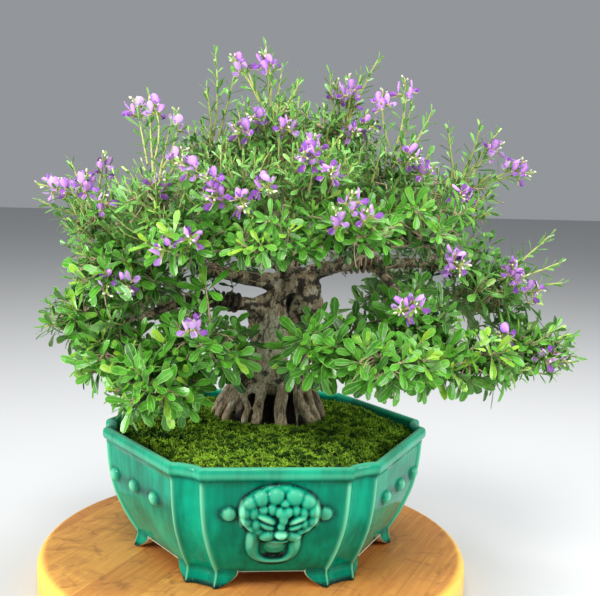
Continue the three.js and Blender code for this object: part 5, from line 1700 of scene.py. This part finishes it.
# Where a spray's own limb starts, if not at the nearest one
SPRAY_STARTS = {"low_right_inner": (136.0, -46.0, 246.0), "low_right_tip": (150.0, -60.0, 228.0)}


def crown_light_tone(place, draw):
    """Painted light on the leaves on the outside and top of the crown, painted shade on those inside and
    below, with a random spread
    """
    out = np.linalg.norm((place - CROWN_MIDDLE) / CROWN_HALF)
    return 0.16 + 0.36 * min(out, 1.1) + draw.uniform(-0.16, 0.18)


def growing_way(place, way, draw, lift, splay):
    """Shoots grow away from the trunk and towards the light, not straight out of their own spray"""
    outward = unit(place - CROWN_FOOT)
    return unit(outward * 0.75 + way * 0.5 + UP * lift + jitter(draw, splay))


def spray_places(name, draw, count, phase):
    """Places of shoot ends in a spray and on the way to its neighbours, each with its way out"""
    middle, half, _ = SPRAYS[name]
    places = []
    for i in range(count):
        way = sphere_way(i, count, -0.8, 0.97, phase)
        way = unit(way + jitter(draw, 0.25))
        share = draw.uniform(0.45, 1.0) ** 0.6
        places.append((middle + way * half * share, way))
    for other, (centre, _, _) in SPRAYS.items():
        gap = centre - middle
        length = np.linalg.norm(gap)
        if other != name and length < BRIDGE_REACH:
            for _ in range(3):
                aside = jitter(draw, 14)
                places.append((middle + gap * draw.uniform(0.36, 0.56) + aside, unit(gap)))
    lowest = UNDERSIDES.get(name, 0.0)
    for place, _ in places:
        if place[2] < lowest:
            place[2] = lowest + draw.uniform(0.0, UNDERSIDE_SPREAD)
    return places


def raceme_path(name, number):
    """A flower stalk's way out of its spray"""
    middle = SPRAYS[name][0]
    tip = np.array(RACEMES[name][number], dtype=float)
    draw = random.Random(RACEME_SEED + 10 * list(RACEMES).index(name) + number)
    return np.array(bent(middle + (tip - middle) * 0.35, tip, draw.uniform(-4, 4), 8, draw, 0.10))


def grow_branches(growth, hub, middle, half, index):
    """Six branches from the end of a spray's own limb, from which its twigs start"""
    for k in range(6):
        way = sphere_way(k, 6, -0.5, 0.9, index)
        path = bent(hub, middle + way * half * 0.42, 2.0, 4, growth.draw, 0.12)
        growth.stem(path, *BRANCH_STEM)
        growth.bases.extend(path[1:])


def grow_rosettes(growth, name, index):
    """Rosettes of broad leaves over a spray's outside, with a few dry twigs"""
    draw = growth.draw
    under = name in UNDERSIDES
    ends = MIXED_ENDS if name in MIXED_SPRAYS else ROSETTE_ENDS
    for tip, way in spray_places(name, draw, ends, index * 1.7):
        droop = 0.5 * min(way[2] + 0.1, 0.0)
        axis = growing_way(tip, way, draw, 0.12 + droop, 0.3)
        base = tip - axis * 9.0
        growth.twig(base, 1.0)
        hang = 0.18 if under else 0.25 + 0.6 * max(0.0, 0.1 - way[2])
        longest = draw.uniform(*(UNDER_LEAF if under else ROSETTE_LEAF))
        # painted shade on rosettes that face downward
        shade = crown_light_tone(tip, draw) - 0.12 * max(0.0, -way[2])
        whorl(growth, base, axis, draw.randrange(7, 11), longest, shade, hang=hang)
        for _ in range(2):
            dry = unit(axis + jitter(draw, 0.8))
            growth.stem([base - axis * 2, base + dry * draw.uniform(3, 7)], *DRY_STEM)


def grow_shoots(growth, name, index):
    """Fine upright shoots over a spray's outside, and rosettes between their feet"""
    draw = growth.draw
    middle, half, _ = SPRAYS[name]
    ends = MIXED_ENDS if name in MIXED_SPRAYS else SHOOT_ENDS
    for tip, way in spray_places(name, draw, ends, index * 1.7 + 0.8):
        axis = growing_way(tip, way, draw, 0.3 + 0.4 * max(way[2], 0.0), 0.3)
        start = tip - axis * draw.uniform(24.0, 36.0)
        growth.twig(start, 0.9)
        path = bent(start, tip, 0.0, 3, draw, 0.08)
        growth.stem(path, *SHOOT_STEM)
        longest = draw.uniform(*SHOOT_LEAF)
        leafy_shoot(growth, path, longest, SHOOT_PARTING, crown_light_tone(tip, draw), SHOOT_BLADES, 0.12)
    for i in range(12):
        way = sphere_way(i, 12, -0.95, 0.75, index * 2.3)
        tip = middle + way * half * draw.uniform(0.45, 0.85)
        axis = growing_way(tip, way, draw, 0.1, 0.3)
        growth.twig(tip, 0.8)
        longest = draw.uniform(*MIDDLE_LEAF)
        # painted shade on the rosettes between the shoots' feet, inside the spray
        whorl(growth, tip, axis, 7, longest, crown_light_tone(tip, draw) - 0.12, MIDDLE_BLADES)


def grow_inside(growth, name, index):
    """Shaded rosettes in a spray's middle and bare twigs below it"""
    draw = growth.draw
    middle, half, _ = SPRAYS[name]
    for i in range(9):
        way = sphere_way(i, 9, -0.9, 0.9, index * 2.3)
        tip = middle + way * half * draw.uniform(0.15, 0.4)
        # tone 0.06: painted shade on the rosettes inside the spray
        whorl(growth, tip, unit(way + UP * 0.2), 7, 17.0, 0.06, MIDDLE_BLADES)
    for i in range(12):
        way = sphere_way(i, 12, -0.95, 0.3, index * 3.1)
        reach = draw.uniform(0.4, 0.7) if name in UNDERSIDES else draw.uniform(0.7, 1.0)
        growth.twig(middle + way * half * reach, 0.75)


def grow_tufts(growth, name):
    """Small tufts and bare twigs on the limbs"""
    draw = growth.draw
    for place in LIMB_TUFTS.get(name, []):
        foot = nearest_on_limbs(np.array(place))
        growth.stem(bent(foot, place, 1.0, 3, draw, 0.15), *TUFT_STEM)
        upward = unit(np.array([draw.uniform(-0.6, 0.6), -0.5, 0.8]))
        if name in MIXED_SPRAYS:
            whorl(growth, np.array(place), upward, 8, draw.uniform(18, 25), draw.uniform(0.3, 0.6))
        else:
            # tone 0.04: painted shade on the tufts that hang under the dome
            whorl(growth, np.array(place), upward, 7, draw.uniform(14, 20), 0.04, MIDDLE_BLADES)
        for _ in range(5):
            aside = np.array([draw.uniform(-20, 20), draw.uniform(-18, 6), draw.uniform(-10, 12)])
            growth.stem(bent(foot, foot + aside, 1.0, 3, draw, 0.2), *BARE_STEM)


def leafy_spray(name, index):
    """One leafy spray, from the limb it grows on to its last leaves"""
    middle, half, broad = SPRAYS[name]
    growth = Growth(LEAF_SEED + index)
    draw = growth.draw
    limb = np.array(SPRAY_STARTS.get(name, nearest_on_limbs(middle)))
    hub = limb + (middle - limb) * 0.75
    growth.stem(bent(limb, hub, 3.0, 5, draw, 0.08), *LIMB_STEM)
    grow_branches(growth, hub, middle, half, index)
    if broad or name in MIXED_SPRAYS:
        grow_rosettes(growth, name, index)
    if not broad or name in MIXED_SPRAYS:
        grow_shoots(growth, name, index)
    grow_inside(growth, name, index)
    grow_tufts(growth, name)
    for tip in LONG_SHOOTS.get(name, []):
        path = bent(middle + (np.array(tip, dtype=float) - middle) * 0.2, tip, 0.0, 6, draw, 0.05)
        growth.stem(path, *LONG_STEM)
        leafy_shoot(growth, path, 18.0, LONG_PARTING, 0.5, SHOOT_BLADES, 0.2)
    for number in range(len(RACEMES.get(name, []))):
        leafy_shoot(growth, raceme_path(name, number)[:8], 19.0, LONG_PARTING, 0.5, SHOOT_BLADES, 0.2)
    material = BROAD_LEAF if broad else FINE_LEAF
    piece = build_growth("foliage_" + name, growth, LEAF_SHAPES, material, LEAF_SIZE_SEED + index)
    hand_over(piece, "leaves_" + name)


# Named in the order of their numbers
LEAF_SHAPES = template_collection("leaves", [
    leaf_shape("leaf_a", BROAD_OUTLINE, 0.22, 0.10, 0.0),
    leaf_shape("leaf_b", BROAD_OUTLINE, 0.30, 0.26, 0.25),
    leaf_shape("leaf_c", BROAD_OUTLINE, 0.14, 0.02, -0.3),
    leaf_shape("leaf_d", MIDDLE_OUTLINE, 0.25, 0.12, 0.2),
    leaf_shape("leaf_e", MIDDLE_OUTLINE, 0.2, 0.0, -0.2),
    leaf_shape("leaf_f", FINE_OUTLINE, 0.25, 0.10, 0.15),
    leaf_shape("leaf_g", FINE_OUTLINE, 0.3, -0.05, -0.2),
])
for index, name in enumerate(SPRAYS):
    leafy_spray(name, index)
drop_templates(LEAF_SHAPES)


def blossoms(name, index):
    """One spray's flower stalks, with flowers below and buds at the tip"""
    growth = Growth(FLOWER_SEED + index)
    draw = growth.draw
    for number in range(len(RACEMES[name])):
        path = raceme_path(name, number)
        growth.stem(list(path), *FLOWER_STEM)
        run = run_along(path)
        way = unit(path[-1] - path[-3])
        side, over = square_to(way)
        flowers = draw.randrange(3, 6)
        buds = draw.randrange(3, 6)
        begin = draw.uniform(0, TURN)
        for i in range(flowers + buds):
            back = RACEME_LENGTH * (1 - i / (flowers + buds - 1)) ** 1.1
            place = places_at(path, run, max(run[-1] - back, 0.0))
            azimuth = begin + i * GOLDEN_ANGLE
            radial = side * math.cos(azimuth) + over * math.sin(azimuth)
            is_bud = i >= flowers
            foot_way = unit(radial + way * (0.9 if is_bud else 0.35) + UP * 0.1)
            pedicel = draw.uniform(1.5, 3.0) if is_bud else draw.uniform(2.0, 4.0)
            end = place + foot_way * pedicel
            growth.stem([place, place + foot_way * pedicel * 0.5 + way * 0.5, end], *FLOWER_STALK)
            if is_bud:
                growth.blade(end, foot_way, way, draw.uniform(0.6, 0.9), 2, draw.uniform(0.2, 1.0))
            else:
                facing = unit(radial * 0.9 + np.array([0.0, -0.35, 0.0]) + way * 0.15)
                upward = way * 0.5 + UP + side * draw.uniform(-0.4, 0.4)
                tone = draw.uniform(0.0, 1.0) ** 1.6
                size = draw.uniform(0.9, 1.25)
                growth.blade(end + facing * 1.2, facing, upward, size, draw.randrange(2), tone)
    seed = FLOWER_SIZE_SEED + index
    piece = build_growth("blossom_" + name, growth, FLOWER_SHAPES, PETALS, seed, 0.06)
    hand_over(piece, "flowers_" + name)


FLOWER_SHAPES = template_collection("flowers", [
    pea_flower("flower_a", 1.0), pea_flower("flower_b", 0.72), pea_bud("flower_c"),
])
for index, name in enumerate(RACEMES):
    blossoms(name, index)
drop_templates(FLOWER_SHAPES)


# Studio: a pale floor and soft light from above. Each lamp: place in metres, power in watts, width in metres
LAMPS = [
    ("key", (-0.25, -1.15, 1.9), 31.0, 0.9), ("top", (0.35, 0.15, 2.1), 38.0, 1.2),
    ("fill", (1.5, -0.6, 0.75), 20.0, 0.8), ("window", (-1.5, -0.55, 0.55), 24.0, 0.5),
]
LAMP_AIM = Vector((0.0, 0.0, 0.28))
FLOOR_HALF = 6.0


def make_studio():
    mesh = bpy.data.meshes.new("studio_floor")
    corners = [(x * FLOOR_HALF, y * FLOOR_HALF, 0.0) for x, y in ((-1, -1), (1, -1), (1, 1), (-1, 1))]
    mesh.from_pydata(corners, [], [(0, 1, 2, 3)])
    mesh.materials.append(floor_material("studio_paper"))
    floor = bpy.data.objects.new("studio_floor", mesh)
    bpy.context.collection.objects.link(floor)
    world = bpy.data.worlds.new("studio")
    bpy.context.scene.world = world
    world.use_nodes = True
    background = world.node_tree.nodes["Background"]
    background.inputs["Color"].default_value = linear("#c9cdd2")
    background.inputs["Strength"].default_value = 0.5
    for label, place, energy, width in LAMPS:
        lamp = bpy.data.lights.new(label, "AREA")
        lamp.energy = energy
        lamp.size = width
        light = bpy.data.objects.new(label, lamp)
        light.location = place
        light.rotation_euler = (LAMP_AIM - Vector(place)).to_track_quat("-Z", "Y").to_euler()
        bpy.context.collection.objects.link(light)
    bpy.context.scene.view_settings.view_transform = "Standard"


make_studio()
